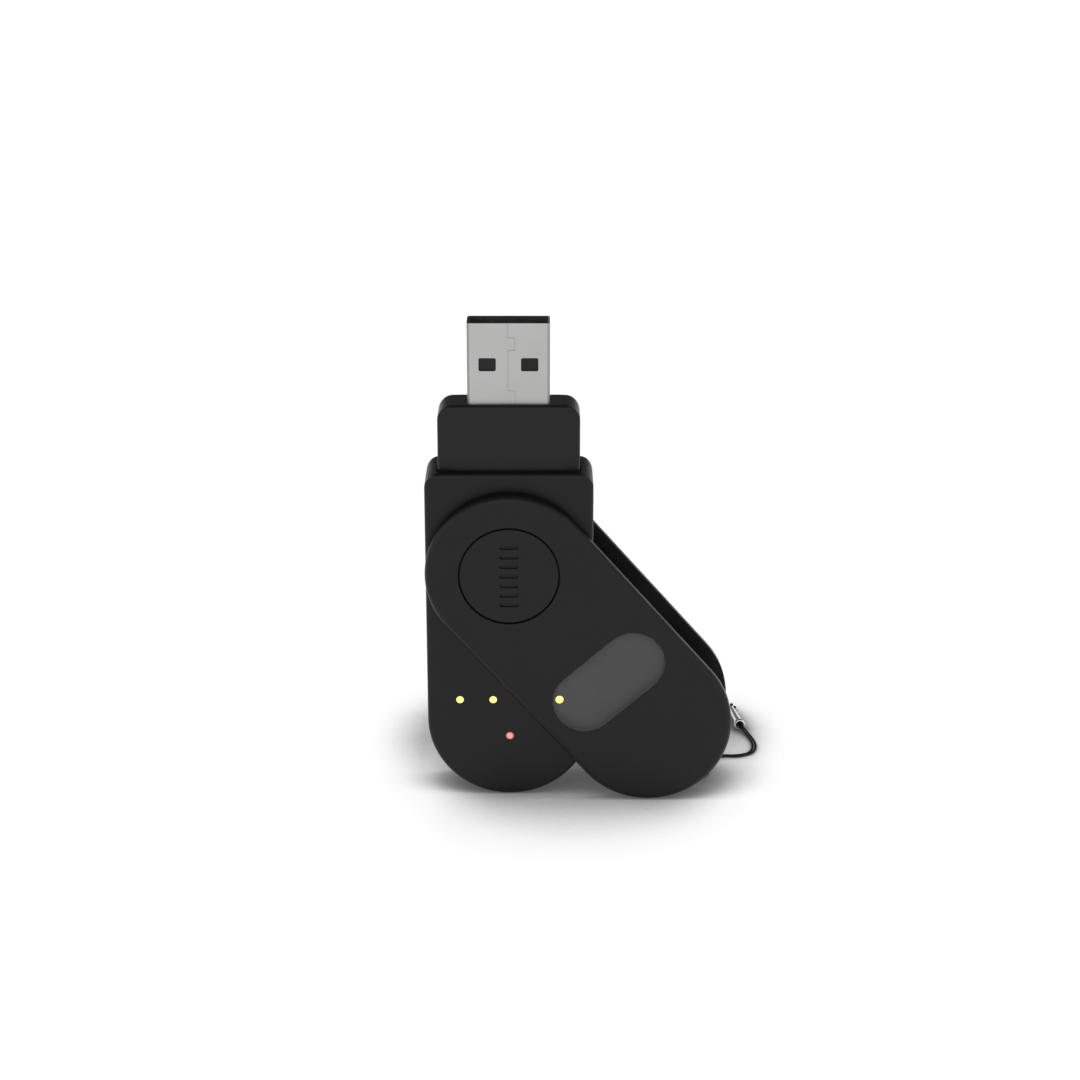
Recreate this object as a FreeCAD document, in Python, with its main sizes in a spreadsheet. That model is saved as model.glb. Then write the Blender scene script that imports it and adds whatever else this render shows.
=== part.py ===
"""USB microcontroller programmer: a stick with a USB plug at its top and a cover that swivels round it.

Millimetres, +Z up. The stick stands upright on its round foot with the plug upwards. The cover hangs from
a hub through the middle of the stick and is swung out until its own round end stands on the same surface.
X runs across the stick towards the swung cover, and Y runs from the front face (-Y) to the back (+Y).
The origin lies on the standing surface, halfway between the two round feet.

Depths are measured from the mid-plane towards the front: a depth of 2 is the plane y = -2.
"""
import FreeCAD, Part
import math
import os
import re
import sys

import Sketcher

Vector = FreeCAD.Vector

# ---------------------------------------------------------------------------------------------------------
# Driving dimensions: name, value in millimetres, meaning
# ---------------------------------------------------------------------------------------------------------
DRIVING_SIZES = [
    ("body_width", 24.8, "stick, across"),
    ("body_length", 51.5, "stick, from its foot to its top face"),
    ("body_depth", 9.2, "stick, front face to back face"),
    ("body_corner", 2.4, "radius of the stick's top corners"),
    ("body_edge", 0.65, "rounding of the stick's face edges"),
    ("shell_wall", 1.2, "thickness of the two shells"),
    ("top_wall", 1.5, "thickness of the stick's top wall"),
    ("neck_width", 20.84, "collar, across"),
    ("neck_depth", 6.4, "collar, front to back"),
    ("neck_rise", 9.87, "collar, height above the stick"),
    ("neck_corner", 2.4, "radius of the collar's top corners"),
    ("neck_edge", 0.5, "rounding of the collar's edges"),
    ("neck_flat", 14.8, "width of the collar's flat middle, beside which its faces slope back"),
    ("neck_slope", 0.4, "how far the sloping sides fall back"),
    ("neck_gap", 0.2, "gap between the collar and the shells' opening"),
    ("flange_height", 2.0, "collar's retaining flange, along Z"),
    ("flange_lip", 0.6, "how far the flange reaches past the collar"),
    ("flange_slack", 0.05, "clearance of the flange in its seat"),
    ("ledge_height", 1.2, "ledge under the flange, along Z"),
    ("ledge_reach", 2.4, "ledge under the flange, across"),
    ("plug_width", 12.0, "plug shell, across"),
    ("plug_depth", 4.5, "plug shell, front to back"),
    ("plug_reach", 12.03, "plug shell, length that stands out of the collar"),
    ("plug_length", 18.8, "plug shell, whole length"),
    ("plug_sheet", 0.3, "plug shell, sheet thickness"),
    ("plug_corner", 0.5, "plug shell, outer corner radius"),
    ("plug_slack", 0.02, "clearance of the plug shell in the collar"),
    ("latch_width", 2.5, "latch windows of the plug shell, across"),
    ("latch_height", 1.95, "latch windows, along Z"),
    ("latch_offset", 3.07, "latch windows, centre from the plug's centre line"),
    ("latch_drop", 6.13, "latch windows, centre below the plug's tip"),
    ("latch_corner", 0.25, "latch windows, corner radius"),
    ("seam_width", 0.08, "folded seam of the plug shell, width"),
    ("seam_depth", 0.1, "folded seam, depth"),
    ("seam_offset", 0.1, "folded seam, its first line left of the centre line"),
    ("seam_jog", 1.0, "folded seam, side step"),
    ("seam_first", 2.1, "folded seam, first step below the tip"),
    ("seam_second", 3.96, "folded seam, step back below the tip"),
    ("seam_third", 10.0, "folded seam, last step below the tip"),
    ("tongue_depth", 1.78, "insulating tongue, thickness"),
    ("tongue_inset", 0.02, "clearance of the insulator in the plug shell"),
    ("tongue_sink", 0.5, "tongue's end below the plug's tip"),
    ("insulator_block", 6.0, "full-depth block behind the tongue, along Z"),
    ("contact_width", 1.0, "plug contacts, across"),
    ("contact_depth", 0.2, "plug contacts, thickness"),
    ("contact_proud", 0.1, "how far the contacts stand out of the tongue"),
    ("contact_inner", 1.0, "inner contacts, offset from the centre line"),
    ("contact_outer", 3.5, "outer contacts, offset from the centre line"),
    ("contact_short", 2.2, "inner contacts, end below the plug's tip"),
    ("contact_long", 1.2, "outer contacts, end below the plug's tip"),
    ("contact_tail", 3.0, "contact tails on the board, length"),
    ("board_depth", 1.0, "circuit board, thickness"),
    ("board_margin", 0.6, "circuit board, gap to the shells' walls"),
    ("board_tab", 14.0, "circuit board, width of the tab in the collar"),
    ("board_tab_slack", 0.3, "clearance of the tab in the collar"),
    ("board_slot", 3.2, "slot for the board in the collar, front to back"),
    ("board_top_gap", 0.1, "gap between the board's top edge and the plug"),
    ("board_hole", 1.2, "radius of the board's hole for the hub screw"),
    ("pivot_height", 36.31, "swivel axis above the standing surface"),
    ("post_radius", 6.0, "hub posts on the shells, radius"),
    ("boss_radius", 4.4, "screw bosses inside the shells, radius"),
    ("socket_radius", 3.2, "sockets for the caps' spigots, radius"),
    ("socket_floor", 3.9, "floor of the sockets, from the mid-plane"),
    ("swivel_slack", 0.05, "radial clearance of the cover on the hub posts"),
    ("cap_lip", 1.32, "how far the hub caps reach past the posts"),
    ("cap_gap", 0.16, "ring gap between the hub caps and the cover"),
    ("cap_depth", 0.85, "hub caps, thickness"),
    ("cap_sink", 0.05, "hub caps' faces below the cover's faces"),
    ("cap_lift", 0.05, "clearance between the caps and the cover's step"),
    ("cap_chamfer", 0.12, "chamfer round the caps and their seats"),
    ("spigot_length", 1.0, "spigots under the hub caps"),
    ("rib_length", 2.8, "grooves in the front cap, length"),
    ("rib_width", 0.6, "grooves in the front cap, width"),
    ("rib_pitch", 1.5, "grooves in the front cap, pitch"),
    ("rib_depth", 0.3, "grooves in the front cap, depth"),
    ("rib_count", 7, "grooves in the front cap, number"),
    ("ring_margin", 2.0, "friction rings' grooves, inner edge from the posts"),
    ("ring_width", 1.6, "friction rings' grooves, width"),
    ("ring_seat", 0.5, "friction rings' grooves, depth"),
    ("ring_slack", 0.05, "clearance of the friction rings in their grooves"),
    ("ring_play", 0.02, "gap between a friction ring and the cover"),
    ("screw_radius", 0.95, "hub screw, thread radius"),
    ("screw_clear", 1.1, "hub screw's clearance hole in the front shell, radius"),
    ("screw_bite", 2.2, "hub screw, length in the back shell"),
    ("screw_head", 1.9, "hub screw, head radius"),
    ("screw_head_height", 0.7, "hub screw, head height"),
    ("screw_drive", 0.8, "hub screw, radius of the hexagonal drive"),
    ("screw_drive_depth", 0.4, "hub screw, depth of the drive"),
    ("pilot_spare", 0.1, "pilot hole past the screw's end"),
    ("prop_radius", 0.9, "board props in the shells, radius"),
    ("prop_upper_across", 8.4, "upper board props, offset from the centre line"),
    ("prop_upper_drop", 6.81, "upper board props, below the swivel axis"),
    ("prop_lower_across", 5.5, "lower board props, offset from the centre line"),
    ("prop_lower_height", 5.6, "lower board props, height"),
    ("lamp_pitch", 5.0, "row of four yellow lamps, pitch"),
    ("lamp_row", 15.69, "row of yellow lamps above the standing surface"),
    ("lamp_red", 9.76, "red lamp above the standing surface"),
    ("pipe_radius", 0.6, "light pipes, radius"),
    ("pipe_slack", 0.02, "clearance of the light pipes in the front shell"),
    ("pipe_flange", 1.0, "light pipes, flange radius"),
    ("pipe_flange_depth", 0.6, "light pipes, flange thickness"),
    ("pipe_gap", 0.15, "gap between a light pipe and its lamp"),
    ("lamp_length", 1.6, "lamp packages, across"),
    ("lamp_height", 0.8, "lamp packages, along Z"),
    ("lamp_base", 0.3, "lamp packages, base thickness"),
    ("lamp_lens", 0.4, "lamp packages, lens thickness"),
    ("lamp_lens_length", 1.0, "lamp packages, lens length"),
    ("controller_drop", 13.71, "microcontroller below the swivel axis"),
    ("controller_side", 7.0, "microcontroller, length of its sides"),
    ("controller_depth", 1.0, "microcontroller, thickness"),
    ("controller_pitch", 0.8, "microcontroller, pitch of its leads"),
    ("controller_lead", 0.37, "microcontroller, width of its leads"),
    ("upper_rise", 7.6, "voltage regulator and memory chip above the swivel axis"),
    ("regulator_width", 6.5, "voltage regulator, across"),
    ("regulator_height", 3.5, "voltage regulator, along Z"),
    ("regulator_depth", 1.6, "voltage regulator, thickness"),
    ("memory_width", 5.0, "memory chip, across"),
    ("memory_height", 4.0, "memory chip, along Z"),
    ("memory_depth", 1.5, "memory chip, thickness"),
    ("memory_pitch", 1.27, "memory chip, pitch of its leads"),
    ("memory_lead", 0.4, "memory chip, width of its leads"),
    ("crystal_place", 14.4, "crystal above the standing surface"),
    ("crystal_width", 5.0, "crystal, across"),
    ("crystal_height", 3.2, "crystal, along Z"),
    ("crystal_depth", 1.1, "crystal, thickness"),
    ("lead_reach", 1.0, "chip leads, length past the package"),
    ("lead_depth", 0.2, "chip leads, thickness"),
    ("chip_width", 1.6, "capacitors and resistors, across"),
    ("chip_height", 0.8, "capacitors and resistors, along Z"),
    ("capacitor_depth", 0.8, "capacitors, thickness"),
    ("resistor_depth", 0.45, "resistors, thickness"),
    ("memory_chip_across", 6.4, "capacitors beside the memory chip, offset from the centre line"),
    ("memory_chip_step", 1.0, "capacitors beside the memory chip, offset along Z"),
    ("controller_chip_across", 6.2, "capacitors beside the microcontroller, offset from the centre line"),
    ("controller_chip_step", 2.0, "capacitors beside the microcontroller, offset along Z"),
    ("crystal_chip_across", 4.2, "capacitors beside the crystal, offset from the centre line"),
    ("regulator_chip_across", 6.6, "resistors beside the voltage regulator, offset from the centre line"),
    ("lamp_resistor_rise", 2.91, "resistors above the yellow lamps"),
    ("red_resistor_across", 3.0, "resistor beside the red lamp"),
    ("cover_overhang", 0.05, "how far the cover reaches past the stick's side"),
    ("plug_end_gap", 5.07, "gap between the plug's tip and the end wall of the closed cover"),
    ("plate_depth", 2.0, "cover plates, thickness"),
    ("plate_gap", 0.2, "gap between the stick and the cover plates"),
    ("cover_edge", 1.0, "rounding of the cover's outer edges"),
    ("bridge_wall", 2.05, "wall that joins the cover's plates, thickness"),
    ("bridge_angle", 50, "half the angle that this wall covers, in degrees"),
    ("window_along", 22.5, "window, centre from the swivel axis"),
    ("window_length", 19.2, "window, length across the cover"),
    ("window_width", 9.7, "window, width along the cover"),
    ("window_slack", 0.03, "clearance of the lens in the window"),
    ("lens_flange", 1.0, "lens flange behind the plate, reach"),
    ("lens_flange_depth", 0.9, "lens flange, thickness"),
    ("lens_sink", 0.02, "lens face below the plate's face"),
    ("eye_width", 4.4, "lanyard eye in the bridge, across"),
    ("eye_depth", 4.0, "lanyard eye, front to back"),
    ("eye_pin_radius", 0.6, "lanyard pin, radius"),
    ("eye_pin_length", 7.2, "lanyard pin, length"),
    ("eye_pin_inset", 1.35, "lanyard pin's axis inside the bridge's outer face"),
    ("dowel_radius", 0.5, "dowels between the cover halves, radius"),
    ("dowel_length", 5.0, "dowels, length"),
    ("dowel_angle", 38, "dowels, angle from the cover's centre line, in degrees"),
    ("ferrule_length", 7.5, "lanyard ferrule, length"),
    ("ferrule_rim", 0.93, "lanyard ferrule, radius of the rim at its mouth"),
    ("ferrule_rim_length", 0.6, "lanyard ferrule, rim length"),
    ("ferrule_wide", 0.82, "lanyard ferrule, barrel radius at the mouth"),
    ("ferrule_narrow", 0.54, "lanyard ferrule, barrel radius at the tail"),
    ("ferrule_mouth_bore", 0.62, "lanyard ferrule, bore radius at the mouth"),
    ("ferrule_tail_bore", 0.40, "lanyard ferrule, bore radius at the tail"),
    ("knot_radius", 0.27, "lanyard knots, radius"),
    ("cord_radius", 0.15, "lanyard cord, radius"),
]

# Sizes that follow from the driving ones: name, formula, meaning
DERIVED_SIZES = [
    ("body_half", "body_width / 2", "half the stick's width and radius of its foot"),
    ("shell_depth", "body_depth / 2", "depth of one shell"),
    ("cavity_depth", "shell_depth - shell_wall", "inner face of a shell, from the mid-plane"),
    ("neck_half", "neck_width / 2", "half the collar's width"),
    ("neck_top", "body_length + neck_rise", "collar's top face"),
    ("flange_top", "body_length - top_wall - flange_slack", "top of the collar's flange"),
    ("collar_foot", "flange_top - flange_height", "bottom of the collar"),
    ("plug_tip", "neck_top + plug_reach", "tip of the plug"),
    ("plug_back", "plug_tip - plug_length", "inner end of the plug shell"),
    ("tongue_face", "plug_depth / 2 - plug_sheet - tongue_inset - tongue_depth", "tongue's contact side"),
    ("contact_back", "tongue_face - contact_proud", "free side of the contacts"),
    ("board_front", "contact_back", "front face of the board, under the contact tails"),
    ("board_back", "board_front - board_depth", "back face of the board"),
    ("board_half", "body_half - shell_wall - board_margin", "half the board's width"),
    ("board_top", "plug_back - board_top_gap", "top edge of the board"),
    ("board_shoulder", "collar_foot - board_margin", "where the board narrows to its tab"),
    ("plate_inner", "shell_depth + plate_gap", "cover plates' inner faces"),
    ("cover_outer", "plate_inner + plate_depth", "cover plates' outer faces"),
    ("cover_radius", "body_half + cover_overhang", "radius of the cover's ends"),
    ("cover_reach", "plug_tip - pivot_height + plug_end_gap + bridge_wall - cover_radius",
     "cover, swivel axis to the centre of its round end"),
    ("cap_radius", "post_radius + cap_lip", "radius of the hub caps"),
    ("ring_inner", "post_radius + ring_margin", "inner radius of the friction rings' grooves"),
    ("ring_outer", "ring_inner + ring_width", "outer radius of the friction rings' grooves"),
    ("post_top", "cover_outer - cap_sink - cap_depth", "top of the hub posts"),
    ("cap_seat", "post_top - cap_lift", "floor of the step for the caps in the cover"),
    ("bridge_inner", "cover_radius - bridge_wall", "inner radius of the cover's end wall"),
    ("eye_pin_along", "cover_reach + cover_radius - eye_pin_inset", "lanyard pin from the swivel axis"),
    ("lamp_top", "board_front + lamp_base + lamp_lens", "front of the lamps"),
    ("foot_drop", "pivot_height - cover_radius", "swivel axis above the centre of the cover's round end"),
    ("foot_spread", "sqrt(cover_reach ^ 2 - foot_drop ^ 2)", "distance between the two feet"),
    ("open_angle", "acos(foot_drop / cover_reach) / 1 deg", "cover's angle from the stick, in degrees"),
    ("stick_x", "-foot_spread / 2", "stick's centre line, from the origin"),
    ("eye_x", "stick_x + eye_pin_along * sin(open_angle * 1 deg)", "lanyard pin, from the origin"),
    ("eye_z", "pivot_height - eye_pin_along * cos(open_angle * 1 deg)", "lanyard pin above the surface"),
]

SIZE_NAMES = {name for name, _, _ in DRIVING_SIZES + DERIVED_SIZES}

# Lanyard, as it lies with its pin at EYE_PLACE; it moves along with the pin.
# The route is the cord's centre line from the first knot through the ferrule to the eye and back.
EYE_PLACE = (17.807, 0.0, 4.111)
CORD_ROUTE = [
    (25.97, 28.25, 0.45),
    (25.58, 26.86, 0.50),
    (25.59, 25.43, 0.57),
    (25.87, 23.65, 0.65),
    (26.13, 21.39, 0.69),
    (26.34, 19.35, 0.74),
    (26.77, 18.30, 0.62),
    (27.29, 17.19, 0.35),
    (27.68, 16.08, 0.22),
    (28.01, 14.69, 0.16),
    (28.18, 13.44, 0.16),
    (28.11, 12.24, 0.16),
    (27.86, 11.03, 0.16),
    (27.44, 10.19, 0.16),
    (26.89, 9.57, 0.17),
    (25.99, 9.20, 0.17),
    (24.78, 8.92, 0.17),
    (23.35, 9.05, 0.17),
    (21.91, 8.97, 0.17),
    (20.78, 7.82, 0.18),
    (20.27, 6.06, 0.18),
    (20.01, 4.27, 0.31),
    (19.85, 2.75, 0.90),
    (19.35, 1.45, 1.95),
    (18.40, 1.02, 3.40),
    (17.148, 1.00, 4.863),
    (17.148, -1.00, 4.863),
    (18.42, -1.03, 3.42),
    (19.28, -0.92, 2.05),
    (19.80, -0.05, 1.05),
    (20.18, 1.40, 0.45),
    (20.51, 3.31, 0.17),
    (20.69, 5.15, 0.17),
    (21.14, 7.07, 0.17),
    (22.10, 8.44, 0.17),
    (23.49, 8.69, 0.17),
    (24.57, 8.54, 0.17),
    (25.41, 8.58, 0.17),
    (26.31, 8.90, 0.17),
    (27.13, 9.38, 0.17),
    (27.70, 9.82, 0.16),
    (28.21, 10.66, 0.16),
    (28.52, 11.71, 0.16),
    (28.65, 12.84, 0.16),
    (28.59, 14.14, 0.16),
    (28.29, 15.55, 0.21),
    (27.91, 16.62, 0.33),
    (27.45, 17.73, 0.55),
    (27.07, 18.51, 0.71),
    (26.69, 19.53, 0.76),
    (26.51, 21.42, 0.69),
    (26.21, 23.69, 0.65),
    (25.97, 25.48, 0.57),
    (25.95, 26.55, 0.52),
    (26.40, 27.20, 0.45),
]

FERRULE_MOUTH = (26.56, 18.86, 0.96)
FERRULE_TAIL = (25.77, 26.35, 0.54)

# ---------------------------------------------------------------------------------------------------------
# Document, sheet and expression helpers
# ---------------------------------------------------------------------------------------------------------
document = FreeCAD.newDocument("usb_programmer")
sheet = document.addObject("Spreadsheet::Sheet", "Sizes")
sub_parts = []


def fill_sheet():
    """Write every driving and derived size into the sheet, with its name as alias."""
    rows = [(name, str(value), meaning) for name, value, meaning in DRIVING_SIZES]
    rows += [(name, "=" + formula, meaning) for name, formula, meaning in DERIVED_SIZES]
    for row, (name, content, meaning) in enumerate(rows, start=1):
        sheet.set("A%d" % row, name)
        sheet.set("B%d" % row, content)
        sheet.set("C%d" % row, meaning)
        sheet.setAlias("B%d" % row, name)
    document.recompute()


def linked(formula):
    """Return the formula with every size name pointing at the sheet."""
    return re.sub(r"[a-z][a-z_]*[a-z]", lambda found: "Sizes." + found.group()
                  if found.group() in SIZE_NAMES else found.group(), formula)


def value(formula):
    """Return the present value of a formula of sizes."""
    return float(sheet.evalExpression(formula))


def negative(formula):
    """Return the formula with its sign changed."""
    return "-(%s)" % formula


# ---------------------------------------------------------------------------------------------------------
# Sub-parts and their places
# ---------------------------------------------------------------------------------------------------------
def add_body(label):
    """Start a sub-part as a PartDesign body."""
    body = document.addObject("PartDesign::Body", label)
    body.Label = label
    sub_parts.append(body)
    return body


def put_on_stick(item, across="0", height="0"):
    """Place a sub-part in the stick's frame: centre line of the stick, standing surface, mid-plane."""
    item.setExpression("Placement.Base.x", linked("stick_x + (%s)" % across))
    item.setExpression("Placement.Base.z", linked(height))


def put_on_cover(item):
    """Place a sub-part in the cover's frame: swivel axis, with local +Z along the cover."""
    item.Placement = FreeCAD.Placement(Vector(), FreeCAD.Rotation(Vector(0, 1, 0), 90))
    item.setExpression("Placement.Base.x", linked("stick_x"))
    item.setExpression("Placement.Base.z", linked("pivot_height"))
    item.setExpression("Placement.Rotation.Angle", linked("180 - open_angle"))


# ---------------------------------------------------------------------------------------------------------
# Sketches
# ---------------------------------------------------------------------------------------------------------
def add_sketch(body, role="XZ_Plane", offset="0"):
    """Add a sketch on one of the body's own planes, moved along the plane's normal by the offset."""
    plane = [feature for feature in body.Origin.OriginFeatures if feature.Role == role][0]
    sketch = body.newObject("Sketcher::SketchObject", body.Label + "_sketch")
    sketch.AttachmentSupport = [(plane, "")]
    sketch.MapMode = "FlatFace"
    sketch.setExpression("AttachmentOffset.Base.z", linked(offset))
    return sketch


def bind(sketch, kind, *places_and_formula):
    """Add a dimension to a sketch and bind it to a formula of sizes."""
    formula = places_and_formula[-1]
    index = sketch.addConstraint(Sketcher.Constraint(kind, *places_and_formula[:-1], value(formula)))
    sketch.setExpression("Constraints[%d]" % index, linked(formula))


def pin_point(sketch, element, point, across, up):
    """Fix a point of a sketch element at a place given by two formulas."""
    for kind, axis, formula in (("DistanceX", -2, across), ("DistanceY", -1, up)):
        if abs(value(formula)) < 1e-9:
            sketch.addConstraint(Sketcher.Constraint("PointOnObject", element, point, axis))
        else:
            bind(sketch, kind, -1, 1, element, point, formula)


def add_circle(sketch, across, up, radius):
    """Draw a circle."""
    centre = Vector(value(across), value(up), 0)
    circle = sketch.addGeometry(Part.Circle(centre, Vector(0, 0, 1), value(radius)), False)
    bind(sketch, "Radius", circle, radius)
    pin_point(sketch, circle, 3, across, up)


def add_polygon(sketch, corners):
    """Draw a closed polygon through corners given by pairs of formulas."""
    points = [Vector(value(across), value(up), 0) for across, up in corners]
    lines = []
    for start, end in zip(points, points[1:] + points[:1]):
        lines.append(sketch.addGeometry(Part.LineSegment(start, end), False))
    for line, following in zip(lines, lines[1:] + lines[:1]):
        sketch.addConstraint(Sketcher.Constraint("Coincident", line, 2, following, 1))
    for line, (across, up) in zip(lines, corners):
        pin_point(sketch, line, 1, across, up)


def add_rectangle(sketch, left, right, low, high):
    """Draw an upright rectangle."""
    add_polygon(sketch, [(left, low), (right, low), (right, high), (left, high)])


def add_arc(sketch, across, up, radius, start, end):
    """Draw an arc about a centre, from the start angle to the end angle in radians, and return it."""
    centre = Vector(value(across), value(up), 0)
    circle = Part.Circle(centre, Vector(0, 0, 1), value(radius))
    arc = sketch.addGeometry(Part.ArcOfCircle(circle, start, end), False)
    bind(sketch, "Radius", arc, radius)
    pin_point(sketch, arc, 3, across, up)
    return arc


def join_lines(sketch, first, second):
    """Draw a line from the end point of one arc to the start point of another, level with both centres."""
    (arc_from, arc_to) = (sketch.Geometry[first], sketch.Geometry[second])
    line = sketch.addGeometry(Part.LineSegment(arc_from.EndPoint, arc_to.StartPoint), False)
    sketch.addConstraint(Sketcher.Constraint("Tangent", first, 2, line, 1))
    sketch.addConstraint(Sketcher.Constraint("Tangent", line, 2, second, 1))
    return line


def add_upright_slot(sketch, low, high, radius):
    """Draw a slot along the vertical axis, between two centre heights."""
    upper = add_arc(sketch, "0", high, radius, 0, math.pi)
    lower = add_arc(sketch, "0", low, radius, math.pi, 2 * math.pi)
    join_lines(sketch, upper, lower)
    join_lines(sketch, lower, upper)


def add_level_slot(sketch, up, length, width):
    """Draw a slot across the vertical axis, of a whole length and width."""
    half_run = "(%s - (%s)) / 2" % (length, width)
    radius = "(%s) / 2" % width
    right = add_arc(sketch, half_run, up, radius, -math.pi / 2, math.pi / 2)
    left = add_arc(sketch, negative(half_run), up, radius, math.pi / 2, 3 * math.pi / 2)
    join_lines(sketch, right, left)
    join_lines(sketch, left, right)


def add_arch(sketch, centre, radius, top):
    """Draw an outline with a round foot about a centre height, straight sides and a flat top."""
    foot = add_arc(sketch, "0", centre, radius, math.pi, 2 * math.pi)
    low = value(centre)
    side = value(radius)
    head = value(top)
    right = sketch.addGeometry(Part.LineSegment(Vector(side, low, 0), Vector(side, head, 0)), False)
    lid = sketch.addGeometry(Part.LineSegment(Vector(side, head, 0), Vector(-side, head, 0)), False)
    left = sketch.addGeometry(Part.LineSegment(Vector(-side, head, 0), Vector(-side, low, 0)), False)
    sketch.addConstraint(Sketcher.Constraint("Tangent", foot, 2, right, 1))
    sketch.addConstraint(Sketcher.Constraint("Coincident", right, 2, lid, 1))
    sketch.addConstraint(Sketcher.Constraint("Coincident", lid, 2, left, 1))
    sketch.addConstraint(Sketcher.Constraint("Tangent", left, 2, foot, 1))
    sketch.addConstraint(Sketcher.Constraint("Vertical", right))
    sketch.addConstraint(Sketcher.Constraint("Vertical", left))
    sketch.addConstraint(Sketcher.Constraint("Horizontal", lid))
    bind(sketch, "DistanceY", -1, 1, right, 2, top)


def add_corner_waste(sketch, side, half, top, radius):
    """Draw what a rounded top corner leaves out: side is 1 for the right corner and -1 for the left."""
    margin = 1.0
    centre_across = "(%s - %s) * %d" % (half, radius, side)
    centre_up = "%s - %s" % (top, radius)
    start, end = (0, math.pi / 2) if side > 0 else (math.pi / 2, math.pi)
    arc = add_arc(sketch, centre_across, centre_up, radius, start, end)
    level_end, upright_end = (1, 2) if side > 0 else (2, 1)
    sketch.addConstraint(Sketcher.Constraint("Horizontal", arc, 3, arc, level_end))
    sketch.addConstraint(Sketcher.Constraint("Vertical", arc, 3, arc, upright_end))
    inner = value(centre_across)
    outer = side * (value(half) + margin)
    low = value(centre_up)
    high = value(top) + margin
    points = [Vector(side * value(half), low, 0), Vector(outer, low, 0), Vector(outer, high, 0),
              Vector(inner, high, 0), Vector(inner, value(top), 0)]
    lines = [sketch.addGeometry(Part.LineSegment(a, b), False) for a, b in zip(points, points[1:])]
    sketch.addConstraint(Sketcher.Constraint("Coincident", arc, level_end, lines[0], 1))
    for line, following in zip(lines, lines[1:]):
        sketch.addConstraint(Sketcher.Constraint("Coincident", line, 2, following, 1))
    sketch.addConstraint(Sketcher.Constraint("Coincident", lines[-1], 2, arc, upright_end))
    for line in lines[0::2]:
        sketch.addConstraint(Sketcher.Constraint("Horizontal", line))
    for line in lines[1::2]:
        sketch.addConstraint(Sketcher.Constraint("Vertical", line))
    bind(sketch, "DistanceX", -1, 1, lines[0], 2, "(%s + %s) * %d" % (half, margin, side))
    bind(sketch, "DistanceY", -1, 1, lines[1], 2, "%s + %s" % (top, margin))


def add_ring_sector(sketch, centre, inner, outer, half_angle):
    """Draw a sector of a ring about a centre height, the half angle to each side of the upward axis."""
    reach = math.radians(value(half_angle))
    middle = math.pi / 2
    wide = add_arc(sketch, "0", centre, outer, middle - reach, middle + reach)
    narrow = add_arc(sketch, "0", centre, inner, middle - reach, middle + reach)
    for end, sign in ((1, 1), (2, -1)):
        points = [sketch.getPoint(arc, end) for arc in (narrow, wide)]
        line = sketch.addGeometry(Part.LineSegment(*points), False)
        sketch.addConstraint(Sketcher.Constraint("Coincident", narrow, end, line, 1))
        sketch.addConstraint(Sketcher.Constraint("Coincident", line, 2, wide, end))
        sine = "%d * (%s) * sin(%s * 1 deg)" % (sign, "%s", half_angle)
        bind(sketch, "DistanceX", -1, 1, narrow, end, sine % inner)
        bind(sketch, "DistanceX", -1, 1, wide, end, sine % outer)


# ---------------------------------------------------------------------------------------------------------
# Features
# ---------------------------------------------------------------------------------------------------------
def add_solid(body, sketch, length):
    """Pad a sketch along its normal."""
    pad = body.newObject("PartDesign::Pad", body.Label + "_pad")
    pad.Profile = sketch
    pad.setExpression("Length", linked(length))
    document.recompute()
    return pad


def cut_away(body, sketch, length, symmetric=False):
    """Cut a sketch along its normal, or to both sides of its plane."""
    before = body.Shape.Volume
    pocket = body.newObject("PartDesign::Pocket", body.Label + "_pocket")
    pocket.Profile = sketch
    pocket.Reversed = not symmetric
    if symmetric:
        pocket.SideType = "Symmetric"
    pocket.setExpression("Length", linked(length))
    document.recompute()
    if not body.Shape.Volume < before - 1e-6:
        raise ValueError("a pocket of %s cuts nothing" % body.Label)
    return pocket


def round_edges(body, radius, wanted, kind="PartDesign::Fillet"):
    """Round or chamfer the edges of a body for which wanted(edge) is true."""
    tip = body.Tip
    names = ["Edge%d" % number for number, edge in enumerate(tip.Shape.Edges, start=1) if wanted(edge)]
    if not names:
        raise ValueError("no edge of %s to round" % body.Label)
    feature = body.newObject(kind, body.Label + "_edges")
    feature.Base = (tip, names)
    feature.setExpression("Radius" if kind.endswith("Fillet") else "Size", linked(radius))
    document.recompute()
    return feature


def lies_at_depth(depth):
    """Return a test for edges that lie in the plane of a depth."""
    place = -value(depth)
    return lambda edge: abs(edge.BoundBox.YMin - place) < 1e-4 and abs(edge.BoundBox.YMax - place) < 1e-4


def lies_at_height(height):
    """Return a test for edges that lie in a level plane."""
    place = value(height)
    return lambda edge: abs(edge.BoundBox.ZMin - place) < 1e-4 and abs(edge.BoundBox.ZMax - place) < 1e-4


class Side:
    """One side of the mid-plane: the front, with sign 1, or the back, with sign -1."""

    def __init__(self, name, sign):
        self.name = name
        self.sign = sign

    def start(self, inner, outer):
        """Return the depth at which a slab between two distances from the mid-plane starts."""
        return inner if self.sign > 0 else negative(outer)

    def depth(self, distance):
        """Return the depth of a plane at a distance from the mid-plane."""
        return distance if self.sign > 0 else negative(distance)


FRONT = Side("front", 1)
BACK = Side("rear", -1)


def add_slab(body, side, inner, outer, draw):
    """Add a slab between two distances from the mid-plane; draw(sketch) draws its outline."""
    sketch = add_sketch(body, offset=side.start(inner, outer))
    draw(sketch)
    return add_solid(body, sketch, "(%s) - (%s)" % (outer, inner))


def cut_slab(body, side, inner, outer, draw):
    """Cut a slab between two distances from the mid-plane; draw(sketch) draws its outline."""
    sketch = add_sketch(body, offset=side.start(inner, outer))
    draw(sketch)
    return cut_away(body, sketch, "(%s) - (%s)" % (outer, inner))


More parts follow.
